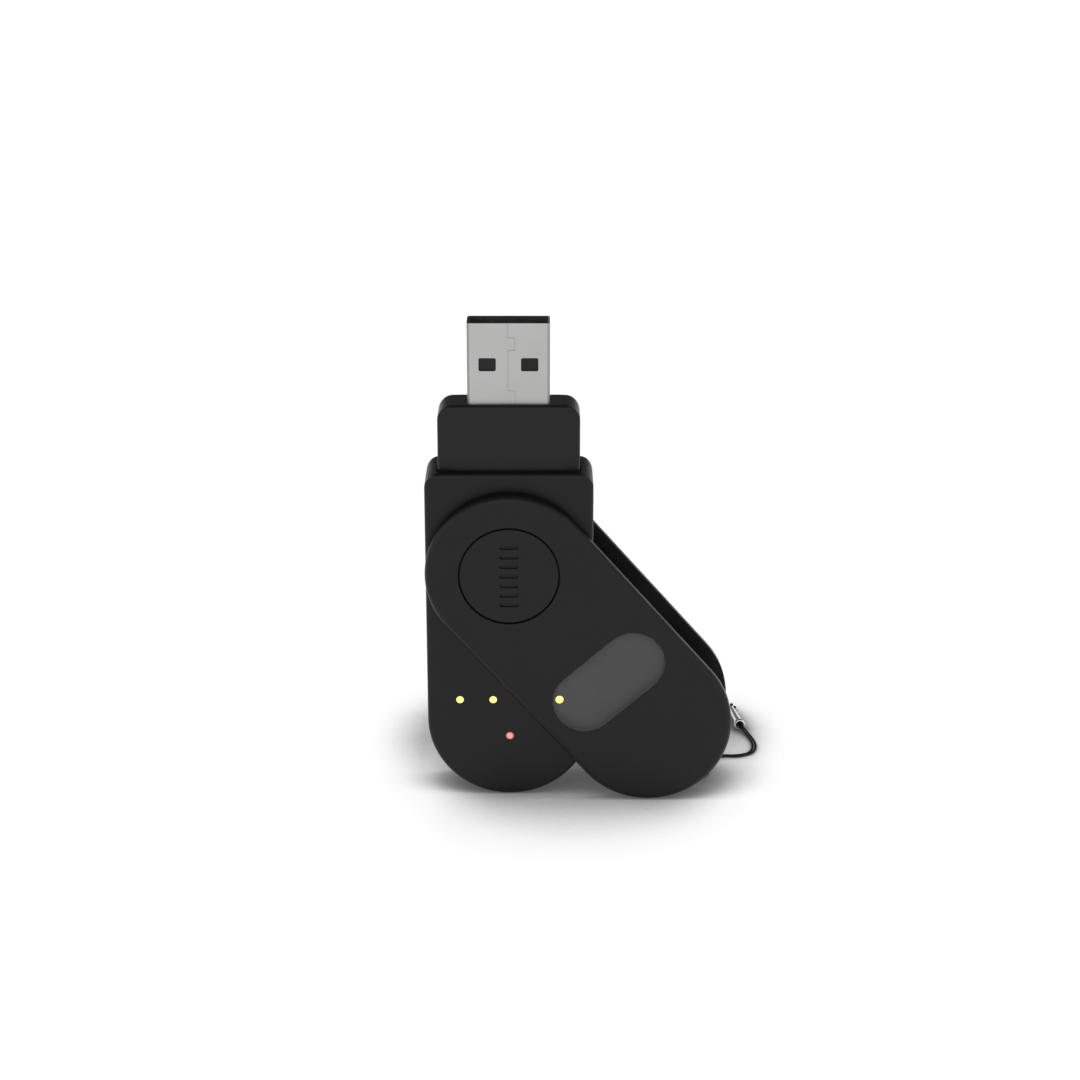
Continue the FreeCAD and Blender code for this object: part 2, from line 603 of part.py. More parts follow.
# ---------------------------------------------------------------------------------------------------------
# Shells of the stick
# ---------------------------------------------------------------------------------------------------------
BEYOND = "1"
LAMP_ROW = [("-1.5 * lamp_pitch", "lamp_row"), ("-0.5 * lamp_pitch", "lamp_row"),
            ("0.5 * lamp_pitch", "lamp_row"), ("1.5 * lamp_pitch", "lamp_row")]
LAMP_RED = ("0", "lamp_red")
PROPS = [("%d * prop_upper_across" % sign, "pivot_height - prop_upper_drop") for sign in (-1, 1)]
PROPS += [("%d * prop_lower_across" % sign, "prop_lower_height") for sign in (-1, 1)]


def draw_hub_circle(radius):
    """Return a drawing of a circle about the swivel axis, in the stick's frame."""
    return lambda sketch: add_circle(sketch, "0", "pivot_height", radius)


def draw_shell_cavity(sketch):
    """Draw the hollow of a shell."""
    add_arch(sketch, "body_half", "body_half - shell_wall", "body_length - top_wall")


def draw_neck_opening(sketch):
    """Draw the opening in the stick's top for the collar."""
    add_rectangle(sketch, "-(neck_half + neck_gap)", "neck_half + neck_gap",
                  "flange_top - flange_slack", "body_length + " + BEYOND)


def draw_ledges(sketch):
    """Draw the two ledges that carry the collar's flange."""
    outer = "body_half - shell_wall + flange_slack"
    inner = "%s - ledge_reach" % outer
    low = "collar_foot - flange_slack - ledge_height"
    high = "collar_foot - flange_slack"
    add_rectangle(sketch, inner, outer, low, high)
    add_rectangle(sketch, negative(outer), negative(inner), low, high)


def draw_corner_waste(sketch):
    """Draw what the stick's rounded top corners leave out."""
    for side in (1, -1):
        add_corner_waste(sketch, side, "body_half", "body_length", "body_corner")


def draw_props(sketch):
    """Draw the props that hold the board."""
    for across, up in PROPS:
        add_circle(sketch, across, up, "prop_radius")


def draw_ring_groove(sketch):
    """Draw the groove of a friction ring."""
    add_circle(sketch, "0", "pivot_height", "ring_outer")
    add_circle(sketch, "0", "pivot_height", "ring_inner")


def draw_pipe_holes(sketch):
    """Draw the holes for the five light pipes."""
    for across, up in LAMP_ROW + [LAMP_RED]:
        add_circle(sketch, across, up, "pipe_radius + pipe_slack")


def make_shell(side, board_face):
    """Make one shell of the stick, whose inner pieces reach in to the board's face."""
    shell = add_body(side.name + "_shell")
    add_slab(shell, side, "0", "shell_depth",
             lambda sketch: add_arch(sketch, "body_half", "body_half", "body_length"))
    round_edges(shell, "body_edge", lies_at_depth(side.depth("shell_depth")))
    cut_slab(shell, side, "0", "shell_depth", draw_corner_waste)
    cut_slab(shell, side, "0", "cavity_depth", draw_shell_cavity)
    cut_slab(shell, side, "0", "neck_depth / 2 + neck_gap", draw_neck_opening)
    add_slab(shell, side, board_face, "cavity_depth", draw_ledges)
    add_slab(shell, side, board_face, "cavity_depth", draw_hub_circle("boss_radius"))
    add_slab(shell, side, board_face, "cavity_depth", draw_props)
    add_slab(shell, side, "shell_depth", "post_top", draw_hub_circle("post_radius"))
    cut_slab(shell, side, "socket_floor", "post_top", draw_hub_circle("socket_radius"))
    cut_slab(shell, side, "shell_depth - ring_seat", "shell_depth", draw_ring_groove)
    return shell


def make_front_shell():
    """Make the front shell, with the screw's clearance hole and the holes for the light pipes."""
    shell = make_shell(FRONT, "board_front")
    cut_slab(shell, FRONT, "board_front", "socket_floor", draw_hub_circle("screw_clear"))
    cut_slab(shell, FRONT, "cavity_depth", "shell_depth", draw_pipe_holes)
    put_on_stick(shell)


def make_rear_shell():
    """Make the rear shell, with the blind pilot hole that the hub screw bites into."""
    shell = make_shell(BACK, "-board_back")
    cut_slab(shell, BACK, "-board_back", "-board_back + screw_bite + pilot_spare",
             draw_hub_circle("screw_radius"))
    put_on_stick(shell)


# ---------------------------------------------------------------------------------------------------------
# Collar and plug
# ---------------------------------------------------------------------------------------------------------
def draw_neck_section(sketch):
    """Draw the collar's section: flat faces whose sides slope back towards the narrow edges."""
    flat = "neck_flat / 2"
    wide = "neck_half"
    deep = "neck_depth / 2"
    shallow = "neck_depth / 2 - neck_slope"
    add_polygon(sketch, [(negative(flat), negative(deep)), (flat, negative(deep)), (wide, negative(shallow)),
                         (wide, shallow), (flat, deep), (negative(flat), deep),
                         (negative(wide), shallow), (negative(wide), negative(shallow))])


def make_collar():
    """Make the collar that holds the plug and the board's tab, with its flange inside the shells."""
    collar = add_body("plug_collar")
    sketch = add_sketch(collar, "XY_Plane", "collar_foot")
    draw_neck_section(sketch)
    add_solid(collar, sketch, "neck_top - collar_foot")
    side = value("neck_half")
    top = value("neck_top")

    def is_outer_edge(edge):
        box = edge.BoundBox
        upright = abs(box.XMin) > side - 1e-4 and abs(box.XMax - box.XMin) < 1e-4 and box.ZLength > 1
        return upright or (lies_at_height("neck_top")(edge) and abs(box.ZMax - top) < 1e-4)

    round_edges(collar, "neck_edge", is_outer_edge)
    cut_slab(collar, FRONT, "-neck_depth", "neck_depth", lambda sketch: [
        add_corner_waste(sketch, side, "neck_half", "neck_top", "neck_corner") for side in (1, -1)])
    sketch = add_sketch(collar, "XY_Plane", "collar_foot")
    add_rectangle(sketch, "-(neck_half + flange_lip)", "neck_half + flange_lip",
                  "-(cavity_depth - flange_slack)", "cavity_depth - flange_slack")
    add_solid(collar, sketch, "flange_height")
    sketch = add_sketch(collar, "XY_Plane", "collar_foot")
    add_rectangle(sketch, "-(board_tab / 2 + board_tab_slack)", "board_tab / 2 + board_tab_slack",
                  "-board_slot / 2", "board_slot / 2")
    cut_away(collar, sketch, "plug_back - collar_foot")
    sketch = add_sketch(collar, "XY_Plane", "plug_back")
    add_rectangle(sketch, "-(plug_width / 2 + plug_slack)", "plug_width / 2 + plug_slack",
                  "-(plug_depth / 2 + plug_slack)", "plug_depth / 2 + plug_slack")
    cut_away(collar, sketch, "neck_top - plug_back")
    put_on_stick(collar)


def draw_latch_windows(sketch):
    """Draw the two latch windows of the plug shell."""
    for sign in (-1, 1):
        centre = "%d * latch_offset" % sign
        add_rectangle(sketch, centre + " - latch_width / 2", centre + " + latch_width / 2",
                      "plug_tip - latch_drop - latch_height / 2", "plug_tip - latch_drop + latch_height / 2")


def draw_seam(sketch):
    """Draw the folded seam: a thin band from the tip to the inner end that steps to the side and back."""
    left = "-seam_offset"
    right = "-seam_offset + seam_jog"
    turns = [("plug_tip - seam_first", left, right), ("plug_tip - seam_second", right, left),
             ("plug_tip - seam_third", left, right)]
    near = [(left + " + seam_width", "plug_tip")]
    far = [(left, "plug_tip")]
    for height, old, new in turns:
        rightwards = new == right
        below = height + " - seam_width"
        upper, lower = (height, below) if rightwards else (below, height)
        near += [(old + " + seam_width", upper), (new + " + seam_width", upper)]
        far += [(old, lower), (new, lower)]
    near.append((right + " + seam_width", "plug_back"))
    far.append((right, "plug_back"))
    add_polygon(sketch, far + near[::-1])


def make_plug_shell():
    """Make the plug's folded steel shell, open at both ends, with its latch windows and seam."""
    plug = add_body("plug_shell")
    sketch = add_sketch(plug, "XY_Plane", "plug_back")
    add_rectangle(sketch, "-plug_width / 2", "plug_width / 2", "-plug_depth / 2", "plug_depth / 2")
    add_solid(plug, sketch, "plug_length")
    round_edges(plug, "plug_corner", lambda edge: edge.BoundBox.ZLength > value("plug_length") - 1e-3)
    sketch = add_sketch(plug, "XY_Plane", "plug_back")
    inner_across = "(plug_width / 2 - plug_sheet)"
    inner_depth = "(plug_depth / 2 - plug_sheet)"
    add_rectangle(sketch, "-" + inner_across, inner_across, "-" + inner_depth, inner_depth)
    cut_away(plug, sketch, "plug_length")
    cut_slab(plug, FRONT, "-plug_depth / 2", "plug_depth / 2", draw_latch_windows)
    short = value("2 * plug_sheet")
    round_edges(plug, "latch_corner", lambda edge: 0.1 < edge.BoundBox.YLength < short
                and edge.BoundBox.XLength < 1e-4 and edge.BoundBox.ZLength < 1e-4
                and edge.BoundBox.ZMin < value("plug_tip") - 1)
    cut_slab(plug, FRONT, "plug_depth / 2 - seam_depth", "plug_depth / 2", draw_seam)
    put_on_stick(plug)


CONTACTS = [("-contact_outer", "contact_long"), ("-contact_inner", "contact_short"),
            ("contact_inner", "contact_short"), ("contact_outer", "contact_long")]


def make_insulator():
    """Make the plug's insulator: a block across the shell and a tongue along its front wall."""
    insulator = add_body("plug_tongue")
    across = "(plug_width / 2 - plug_sheet - tongue_inset)"
    deep = "(plug_depth / 2 - plug_sheet - tongue_inset)"
    sketch = add_sketch(insulator, "XY_Plane", "plug_back")
    add_rectangle(sketch, "-" + across, across, "-" + deep, deep)
    add_solid(insulator, sketch, "insulator_block")
    sketch = add_sketch(insulator, "XY_Plane", "plug_back")
    add_rectangle(sketch, "-" + across, across, "-" + deep, "-tongue_face")
    add_solid(insulator, sketch, "plug_length - tongue_sink")
    for offset, end in CONTACTS:
        left = offset + " - contact_width / 2"
        right = offset + " + contact_width / 2"
        cut_slab(insulator, FRONT, "contact_back", "contact_back + contact_depth",
                 lambda sketch: add_rectangle(sketch, left, right, "plug_back", "plug_tip - " + end))
    put_on_stick(insulator)


def add_block(label, across, height, near, far, width, tall):
    """Add a box centred at a place on the stick, between a near and a far depth."""
    box = document.addObject("Part::Box", label)
    box.Label = label
    box.setExpression("Length", linked(width))
    box.setExpression("Width", linked("(%s) - (%s)" % (near, far)))
    box.setExpression("Height", linked(tall))
    box.setExpression("Placement.Base.x", linked("stick_x + (%s) - (%s) / 2" % (across, width)))
    box.setExpression("Placement.Base.y", linked(negative(near)))
    box.setExpression("Placement.Base.z", linked("(%s) - (%s) / 2" % (height, tall)))
    return box


def make_contacts():
    """Make the four contacts, which run from the tongue through the block to the board."""
    for number, (offset, end) in enumerate(CONTACTS, start=1):
        low = "(plug_back - contact_tail)"
        high = "(plug_tip - %s)" % end
        contact = add_block("plug_contact_%d" % number, offset, "(%s + %s) / 2" % (low, high),
                            "contact_back + contact_depth", "contact_back", "contact_width",
                            "%s - %s" % (high, low))
        sub_parts.append(contact)


# ---------------------------------------------------------------------------------------------------------
# Board and its components
# ---------------------------------------------------------------------------------------------------------
def make_board():
    """Make the circuit board, with a tab that reaches up into the collar."""
    board = add_body("circuit_board")
    sketch = add_sketch(board, offset="board_back")
    add_arch(sketch, "body_half", "board_half", "board_shoulder")
    add_solid(board, sketch, "board_depth")
    sketch = add_sketch(board, offset="board_back")
    add_rectangle(sketch, "-board_tab / 2", "board_tab / 2", "board_shoulder - board_tab / 2", "board_top")
    add_solid(board, sketch, "board_depth")
    sketch = add_sketch(board, offset="board_back")
    add_circle(sketch, "0", "pivot_height", "board_hole")
    cut_away(board, sketch, "board_depth")
    put_on_stick(board)


CONTROLLER_PLACE = "pivot_height - controller_drop"
UPPER_PLACE = "pivot_height + upper_rise"

# Packages: label, side of the board, height of the centre, width, height, thickness
PACKAGES = [
    ("microcontroller", "back", CONTROLLER_PLACE, "controller_side", "controller_side", "controller_depth"),
    ("crystal", "back", "crystal_place", "crystal_width", "crystal_height", "crystal_depth"),
    ("voltage_regulator", "back", UPPER_PLACE, "regulator_width", "regulator_height", "regulator_depth"),
    ("memory_chip", "front", UPPER_PLACE, "memory_width", "memory_height", "memory_depth"),
]

# Small two-ended parts: side of the board, offset from the centre line, height of the centre
CAPACITORS = [("front", "memory_chip_across", UPPER_PLACE + " + memory_chip_step"),
              ("front", "memory_chip_across", UPPER_PLACE + " - memory_chip_step"),
              ("front", "-memory_chip_across", UPPER_PLACE + " + memory_chip_step"),
              ("back", "controller_chip_across", CONTROLLER_PLACE + " + controller_chip_step"),
              ("back", "-controller_chip_across", CONTROLLER_PLACE + " - controller_chip_step"),
              ("back", "crystal_chip_across", "crystal_place"),
              ("back", "-crystal_chip_across", "crystal_place")]
RESISTORS = [("front", across, "%s + lamp_resistor_rise" % height) for across, height in LAMP_ROW]
RESISTORS += [("front", "red_resistor_across", "lamp_red"), ("back", "regulator_chip_across", UPPER_PLACE),
              ("back", "-regulator_chip_across", UPPER_PLACE)]


def board_depths(side, thickness):
    """Return the near and far depth of something that lies on one side of the board."""
    if side == "front":
        return "board_front + %s" % thickness, "board_front"
    return "board_back", "board_back - %s" % thickness


def make_packages():
    """Make the larger packages on the board."""
    for label, side, place, width, height, thickness in PACKAGES:
        near, far = board_depths(side, thickness)
        sub_parts.append(add_block(label, "0", place, near, far, width, height))


def make_group(label, pieces):
    """Join separate pieces into one sub-part, each still its own solid."""
    group = document.addObject("Part::Compound", label)
    group.Label = label
    group.Links = pieces
    sub_parts.append(group)


def make_chip_rows():
    """Make the small two-ended parts, one group for the capacitors and one for the resistors."""
    for label, thickness, places in (("capacitors", "capacitor_depth", CAPACITORS),
                                     ("resistors", "resistor_depth", RESISTORS)):
        pieces = []
        for number, (side, across, place) in enumerate(places, start=1):
            near, far = board_depths(side, thickness)
            pieces.append(add_block("%s_%d" % (label, number), across, place, near, far,
                                    "chip_width", "chip_height"))
        make_group(label, pieces)


def lead_row(count, pitch):
    """Return the offsets of a row of leads about its middle."""
    return ["(%s * %.1f)" % (pitch, number - (count - 1) / 2) for number in range(count)]


def make_lead_group(label, side, place, leads, lead_width):
    """Make the flat leads of a package: each lead is (across, offset along Z, runs across)."""
    near, far = board_depths(side, "lead_depth")
    pieces = []
    for number, (across, offset, runs_across) in enumerate(leads, start=1):
        width, height = ("lead_reach", lead_width) if runs_across else (lead_width, "lead_reach")
        pieces.append(add_block("%s_%d" % (label, number), across, "%s + %s" % (place, offset), near, far,
                                width, height))
    make_group(label, pieces)


def make_leads():
    """Make the leads of the microcontroller, eight to a side, and of the memory chip, four to a side."""
    edge = "((controller_side + lead_reach) / 2)"
    spots = lead_row(8, "controller_pitch")
    leads = [("%d * %s" % (side, edge), spot, True) for side in (-1, 1) for spot in spots]
    leads += [(spot, "%d * %s" % (side, edge), False) for side in (-1, 1) for spot in spots]
    make_lead_group("microcontroller_leads", "back", CONTROLLER_PLACE, leads, "controller_lead")
    edge = "((memory_height + lead_reach) / 2)"
    leads = [(spot, "%d * %s" % (side, edge), False) for side in (-1, 1)
             for spot in lead_row(4, "memory_pitch")]
    make_lead_group("memory_chip_leads", "front", UPPER_PLACE, leads, "memory_lead")


def make_lamp(label, across, height):
    """Make one lamp package on the front of the board: a base with a narrower lens on it."""
    lamp = add_body(label)
    for length, low, high in (("lamp_length", "board_front", "board_front + lamp_base"),
                              ("lamp_lens_length", "board_front + lamp_base", "lamp_top")):
        add_slab(lamp, FRONT, low, high, lambda sketch: add_rectangle(
            sketch, "-%s / 2" % length, "%s / 2" % length, "-lamp_height / 2", "lamp_height / 2"))
    put_on_stick(lamp, across, height)


def make_light_pipe(label, across, height):
    """Make one light pipe: a rod through the front wall with a flange behind it."""
    pipe = add_body(label)
    add_slab(pipe, FRONT, "lamp_top + pipe_gap", "shell_depth",
             lambda sketch: add_circle(sketch, "0", "0", "pipe_radius"))
    add_slab(pipe, FRONT, "cavity_depth - pipe_flange_depth", "cavity_depth",
             lambda sketch: add_circle(sketch, "0", "0", "pipe_flange"))
    put_on_stick(pipe, across, height)


def make_lamps():
    """Make the row of four yellow lamps, the red lamp and their light pipes."""
    for number, (across, height) in enumerate(LAMP_ROW, start=1):
        make_lamp("yellow_lamp_%d" % number, across, height)
        make_light_pipe("yellow_light_pipe_%d" % number, across, height)
    make_lamp("red_lamp", *LAMP_RED)
    make_light_pipe("red_light_pipe", *LAMP_RED)


# ---------------------------------------------------------------------------------------------------------
# Hub
# ---------------------------------------------------------------------------------------------------------
def make_hub_cap(side, grooved):
    """Make one hub cap: a disc with a spigot that is pressed into the post's socket."""
    cap = add_body(side.name + "_hub_cap")
    add_slab(cap, side, "post_top", "post_top + cap_depth", draw_hub_circle("cap_radius"))
    round_edges(cap, "cap_chamfer", lies_at_depth(side.depth("post_top + cap_depth")), "PartDesign::Chamfer")
    add_slab(cap, side, "post_top - spigot_length", "post_top", draw_hub_circle("socket_radius"))
    if grooved:
        cut_grooves(cap)
    put_on_stick(cap)


def cut_grooves(cap):
    """Cut the row of short grooves into the front cap's face, centred on the swivel axis."""
    last = "(rib_count - 1)"
    sketch = add_sketch(cap, offset="post_top + cap_depth - rib_depth")
    add_level_slot(sketch, "pivot_height - rib_pitch * %s / 2" % last, "rib_length", "rib_width")
    groove = cut_away(cap, sketch, "rib_depth")
    pattern = cap.newObject("PartDesign::LinearPattern", "groove_row")
    pattern.Originals = [groove]
    pattern.Direction = (sketch, ["V_Axis"])
    pattern.setExpression("Length", linked("rib_pitch * %s" % last))
    pattern.setExpression("Occurrences", linked("rib_count"))
    cap.Tip = pattern
    document.recompute()


def make_hub_screw():
    """Make the screw that clamps the two shells and the board together through the hub."""
    screw = add_body("hub_screw")
    add_slab(screw, FRONT, "board_back - screw_bite", "socket_floor", draw_hub_circle("screw_radius"))
    add_slab(screw, FRONT, "socket_floor", "socket_floor + screw_head_height", draw_hub_circle("screw_head"))
    sketch = add_sketch(screw, offset="socket_floor + screw_head_height - screw_drive_depth")
    add_polygon(sketch, [("screw_drive * cos(%d * 1 deg)" % turn,
                          "pivot_height + screw_drive * sin(%d * 1 deg)" % turn)
                         for turn in range(0, 360, 60)])
    cut_away(screw, sketch, "screw_drive_depth")
    put_on_stick(screw)


def make_friction_ring(side):
    """Make the ring in a shell's groove that rubs on the cover plate."""
    ring = add_body(side.name + "_friction_ring")
    add_slab(ring, side, "shell_depth - ring_seat", "plate_inner - ring_play", lambda sketch: [
        add_circle(sketch, "0", "pivot_height", radius)
        for radius in ("ring_outer - ring_slack", "ring_inner + ring_slack")])
    put_on_stick(ring)


# ---------------------------------------------------------------------------------------------------------
# Cover
# ---------------------------------------------------------------------------------------------------------
def draw_cover_circle(radius):
    """Return a drawing of a circle about the swivel axis, in the cover's frame."""
    return lambda sketch: add_circle(sketch, "0", "0", radius)


def draw_bridge(sketch):
    """Draw the curved wall that joins the plates round the cover's end."""
    add_ring_sector(sketch, "cover_reach", "bridge_inner", "cover_radius", "bridge_angle")


def draw_dowel_holes(sketch):
    """Draw the two dowel holes in the middle of the bridge's wall."""
    middle = "(cover_radius - bridge_wall / 2)"
    for sign in (-1, 1):
        add_circle(sketch, "%d * %s * sin(dowel_angle * 1 deg)" % (sign, middle),
                   "cover_reach + %s * cos(dowel_angle * 1 deg)" % middle, "dowel_radius")


def draw_eye(sketch):
    """Draw the lanyard eye through the bridge."""
    add_rectangle(sketch, "-eye_width / 2", "eye_width / 2", "cover_reach + bridge_inner - " + BEYOND,
                  "cover_reach + cover_radius + " + BEYOND)


def make_cover_half(side):
    """Make one half of the cover: a plate with half of the bridge, split along the mid-plane."""
    half = add_body("cover_" + side.name)
    add_slab(half, side, "plate_inner", "cover_outer",
             lambda sketch: add_upright_slot(sketch, "0", "cover_reach", "cover_radius"))
    round_edges(half, "cover_edge", lies_at_depth(side.depth("cover_outer")))
    add_slab(half, side, "0", "plate_inner", draw_bridge)
    cut_slab(half, side, "plate_inner", "cover_outer", draw_cover_circle("post_radius + swivel_slack"))
    cut_slab(half, side, "cap_seat", "cover_outer", draw_cover_circle("cap_radius + cap_gap"))
    rim = value("cap_radius + cap_gap")
    face = lies_at_depth(side.depth("cover_outer"))
    round_edges(half, "cap_chamfer", lambda edge: face(edge) and abs(edge.BoundBox.XLength - 2 * rim) < 1e-3,
                "PartDesign::Chamfer")
    cut_slab(half, side, "0", "eye_depth / 2", draw_eye)
    sketch = add_sketch(half, "YZ_Plane")
    add_circle(sketch, "0", "eye_pin_along", "eye_pin_radius")
    cut_away(half, sketch, "eye_pin_length", symmetric=True)
    cut_slab(half, side, "0", "dowel_length / 2", draw_dowel_holes)
    return half


def make_cover():
    """Make the two cover halves, the front one with the window and the recess for the lens flange."""
    front = make_cover_half(FRONT)
    cut_slab(front, FRONT, "plate_inner", "cover_outer", lambda sketch: add_level_slot(
        sketch, "window_along", "window_length + 2 * window_slack", "window_width + 2 * window_slack"))
    grow = "2 * (lens_flange + window_slack)"
    cut_slab(front, FRONT, "plate_inner", "plate_inner + plate_depth / 2", lambda sketch: add_level_slot(
        sketch, "window_along", "window_length + " + grow, "window_width + " + grow))
    put_on_cover(front)
    put_on_cover(make_cover_half(BACK))


def make_lens():
    """Make the smoked lens: it fills the window and its flange lies behind the plate."""
    lens = add_body("window_lens")
    step = "plate_inner + plate_depth / 2"
    add_slab(lens, FRONT, step, "cover_outer - lens_sink", lambda sketch: add_level_slot(
        sketch, "window_along", "window_length", "window_width"))
    add_slab(lens, FRONT, step + " - lens_flange_depth", step, lambda sketch: add_level_slot(
        sketch, "window_along", "window_length + 2 * lens_flange", "window_width + 2 * lens_flange"))
    put_on_cover(lens)


def make_dowels():
    """Make the two steel dowels that line up the cover halves."""
    for name, sign in (("lower", -1), ("upper", 1)):
        dowel = add_body("%s_cover_dowel" % name)
        middle = "(cover_radius - bridge_wall / 2)"
        add_slab(dowel, FRONT, "-dowel_length / 2", "dowel_length / 2", lambda sketch: add_circle(
            sketch, "%d * %s * sin(dowel_angle * 1 deg)" % (-sign, middle),
            "cover_reach + %s * cos(dowel_angle * 1 deg)" % middle, "dowel_radius"))
        put_on_cover(dowel)


def make_eye_pin():
    """Make the pin across the lanyard eye, clamped between the cover halves."""
    pin = add_body("lanyard_pin")
    sketch = add_sketch(pin, "YZ_Plane", "-eye_pin_length / 2")
    add_circle(sketch, "0", "eye_pin_along", "eye_pin_radius")
    add_solid(pin, sketch, "eye_pin_length")
    put_on_cover(pin)


# ---------------------------------------------------------------------------------------------------------
# Lanyard
# ---------------------------------------------------------------------------------------------------------
def cord_path(points):
    """Return a wire of straight runs joined by tangent arcs, its length and its arc radii."""
    edges = []
    radii = []
    last = points[0]
    for before, corner, after in zip(points, points[1:], points[2:]):
        back = (before - corner).normalize()
        ahead = (after - corner).normalize()
        half_turn = (math.pi - back.getAngle(ahead)) / 2
        shorter = min(before.distanceToPoint(corner), after.distanceToPoint(corner))
        trim = 0.45 * shorter
        radius = trim / math.tan(half_turn)
        enter = corner + back * trim
        leave = corner + ahead * trim
        bisector = (back + ahead).normalize()
        middle = corner + bisector * (radius / math.cos(half_turn) - radius)
        edges.append(Part.LineSegment(last, enter).toShape())
        edges.append(Part.Arc(enter, middle, leave).toShape())
        radii.append(radius)
        last = leave
    edges.append(Part.LineSegment(last, points[-1]).toShape())
    return Part.Wire(edges), sum(edge.Length for edge in edges), radii


def lanyard_point(place):
    """Return a point of the lanyard, moved along with the lanyard pin."""
    pin = Vector(value("eye_x"), 0, value("eye_z"))
    return Vector(*place) + pin - Vector(*EYE_PLACE)


def make_cord():
    """Make the lanyard's cord, one doubled length from knot to knot, and report its bends."""
    radius = value("cord_radius")
    path, length, radii = cord_path([lanyard_point(place) for place in CORD_ROUTE])
    start = path.Edges[0]
    profile = Part.Wire([Part.Circle(start.valueAt(0), start.tangentAt(0), radius).toShape()])
    tube = path.makePipeShell([profile], True, False)
    cord = document.addObject("Part::Feature", "lanyard_cord")
    cord.Label = "lanyard_cord"
    cord.Shape = tube
    sub_parts.append(cord)
    section = math.pi * radius ** 2
    print("cord length %.2f, tightest radius %.2f, volume %.4f against %.4f"
          % (length, min(radii), tube.Volume, section * length))
    print("cord radii", ", ".join("%.2f" % bend for bend in radii))


def make_ferrule():
    """Make the bell-shaped ferrule that gathers the doubled cord: a rim at its mouth and a tapered barrel."""
    ferrule = add_body("lanyard_ferrule")
    sketch = add_sketch(ferrule)
    add_polygon(sketch, [("ferrule_mouth_bore", "0"), ("ferrule_rim", "0"),
                         ("ferrule_rim", "ferrule_rim_length"), ("ferrule_wide", "ferrule_rim_length"),
                         ("ferrule_narrow", "ferrule_length"), ("ferrule_tail_bore", "ferrule_length")])
    turned = ferrule.newObject("PartDesign::Revolution", "ferrule_turned")
    turned.Profile = sketch
    turned.ReferenceAxis = (sketch, ["V_Axis"])
    turned.Angle = 360
    document.recompute()
    mouth = lanyard_point(FERRULE_MOUTH)
    along = lanyard_point(FERRULE_TAIL) - mouth
    ferrule.Placement = FreeCAD.Placement(mouth, FreeCAD.Rotation(Vector(0, 0, 1), along))


def make_knots():
    """Make the two knots that stop the cord's ends behind the ferrule."""
    for number, end in enumerate((CORD_ROUTE[0], CORD_ROUTE[-1]), start=1):
        knot = document.addObject("Part::Sphere", "lanyard_knot_%d" % number)
        knot.Label = "lanyard_knot_%d" % number
        knot.setExpression("Radius", linked("knot_radius"))
        knot.Placement = FreeCAD.Placement(lanyard_point(end), FreeCAD.Rotation())
        sub_parts.append(knot)


# ---------------------------------------------------------------------------------------------------------
# Whole model
# ---------------------------------------------------------------------------------------------------------
def check_model():
    """Stop if any object failed or any sub-part is not a valid closed shape."""
    faults = []
    for item in document.Objects:
        if "Invalid" in item.State or "Error" in item.State:
            faults.append("%s is %s" % (item.Label, item.State))
        if item.TypeId == "Sketcher::SketchObject" and not item.FullyConstrained:
            faults.append("%s is not fully constrained" % item.Name)
    for item in sub_parts:
        shape = item.Shape
        if shape.isNull() or not shape.isValid() or not shape.Solids:
            faults.append("%s has no valid solid" % item.Label)
    if faults:
        sys.exit("\n".join(faults))


def export_parts():
    """Write each sub-part to its own STEP file."""
    os.makedirs("parts", exist_ok=True)
    for item in sub_parts:
        item.Shape.exportStep("parts/%s.step" % item.Label)
    print("%d sub-parts written" % len(sub_parts))


fill_sheet()
make_front_shell()
make_rear_shell()
make_collar()
make_plug_shell()
make_insulator()
make_contacts()
make_board()
make_packages()
make_chip_rows()
make_leads()
make_lamps()
make_hub_cap(FRONT, grooved=True)
make_hub_cap(BACK, grooved=False)
make_hub_screw()
make_friction_ring(FRONT)
make_friction_ring(BACK)
make_cover()
make_lens()
make_dowels()
make_eye_pin()
make_cord()
make_ferrule()
make_knots()
document.recompute()
check_model()
export_parts()
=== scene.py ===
"""Looks of the USB microcontroller programmer: a black stick with a steel plug, a swivel cover and a lanyard.

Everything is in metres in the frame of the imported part: X across the stick towards the swung cover, Y from
the front face to the back, Z up, with the origin on the standing surface halfway between the two feet.
"""
import math

import bmesh
import bpy
from mathutils import Matrix, Vector


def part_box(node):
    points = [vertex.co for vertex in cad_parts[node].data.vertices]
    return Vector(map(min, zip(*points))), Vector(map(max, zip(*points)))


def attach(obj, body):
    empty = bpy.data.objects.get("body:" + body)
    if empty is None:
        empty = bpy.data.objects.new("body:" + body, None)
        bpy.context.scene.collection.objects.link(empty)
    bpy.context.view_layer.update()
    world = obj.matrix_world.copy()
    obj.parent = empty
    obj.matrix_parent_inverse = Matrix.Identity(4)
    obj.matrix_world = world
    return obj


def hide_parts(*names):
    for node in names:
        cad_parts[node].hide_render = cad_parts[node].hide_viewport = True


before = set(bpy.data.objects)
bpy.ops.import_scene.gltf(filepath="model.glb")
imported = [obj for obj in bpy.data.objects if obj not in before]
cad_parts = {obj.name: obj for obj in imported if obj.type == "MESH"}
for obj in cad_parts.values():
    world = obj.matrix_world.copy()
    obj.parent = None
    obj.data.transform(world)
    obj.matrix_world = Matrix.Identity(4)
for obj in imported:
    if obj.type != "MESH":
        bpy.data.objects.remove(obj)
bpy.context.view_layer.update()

MM = 0.001

# ---------------------------------------------------------------------------------------------------------
# Camera
# ---------------------------------------------------------------------------------------------------------
CAMERA_PLACE = (-0.00592, -0.32295, 0.15473)
CAMERA_TILT = 70.383
CAMERA_LENS = 76.58
CAMERA_SENSOR = 36.0


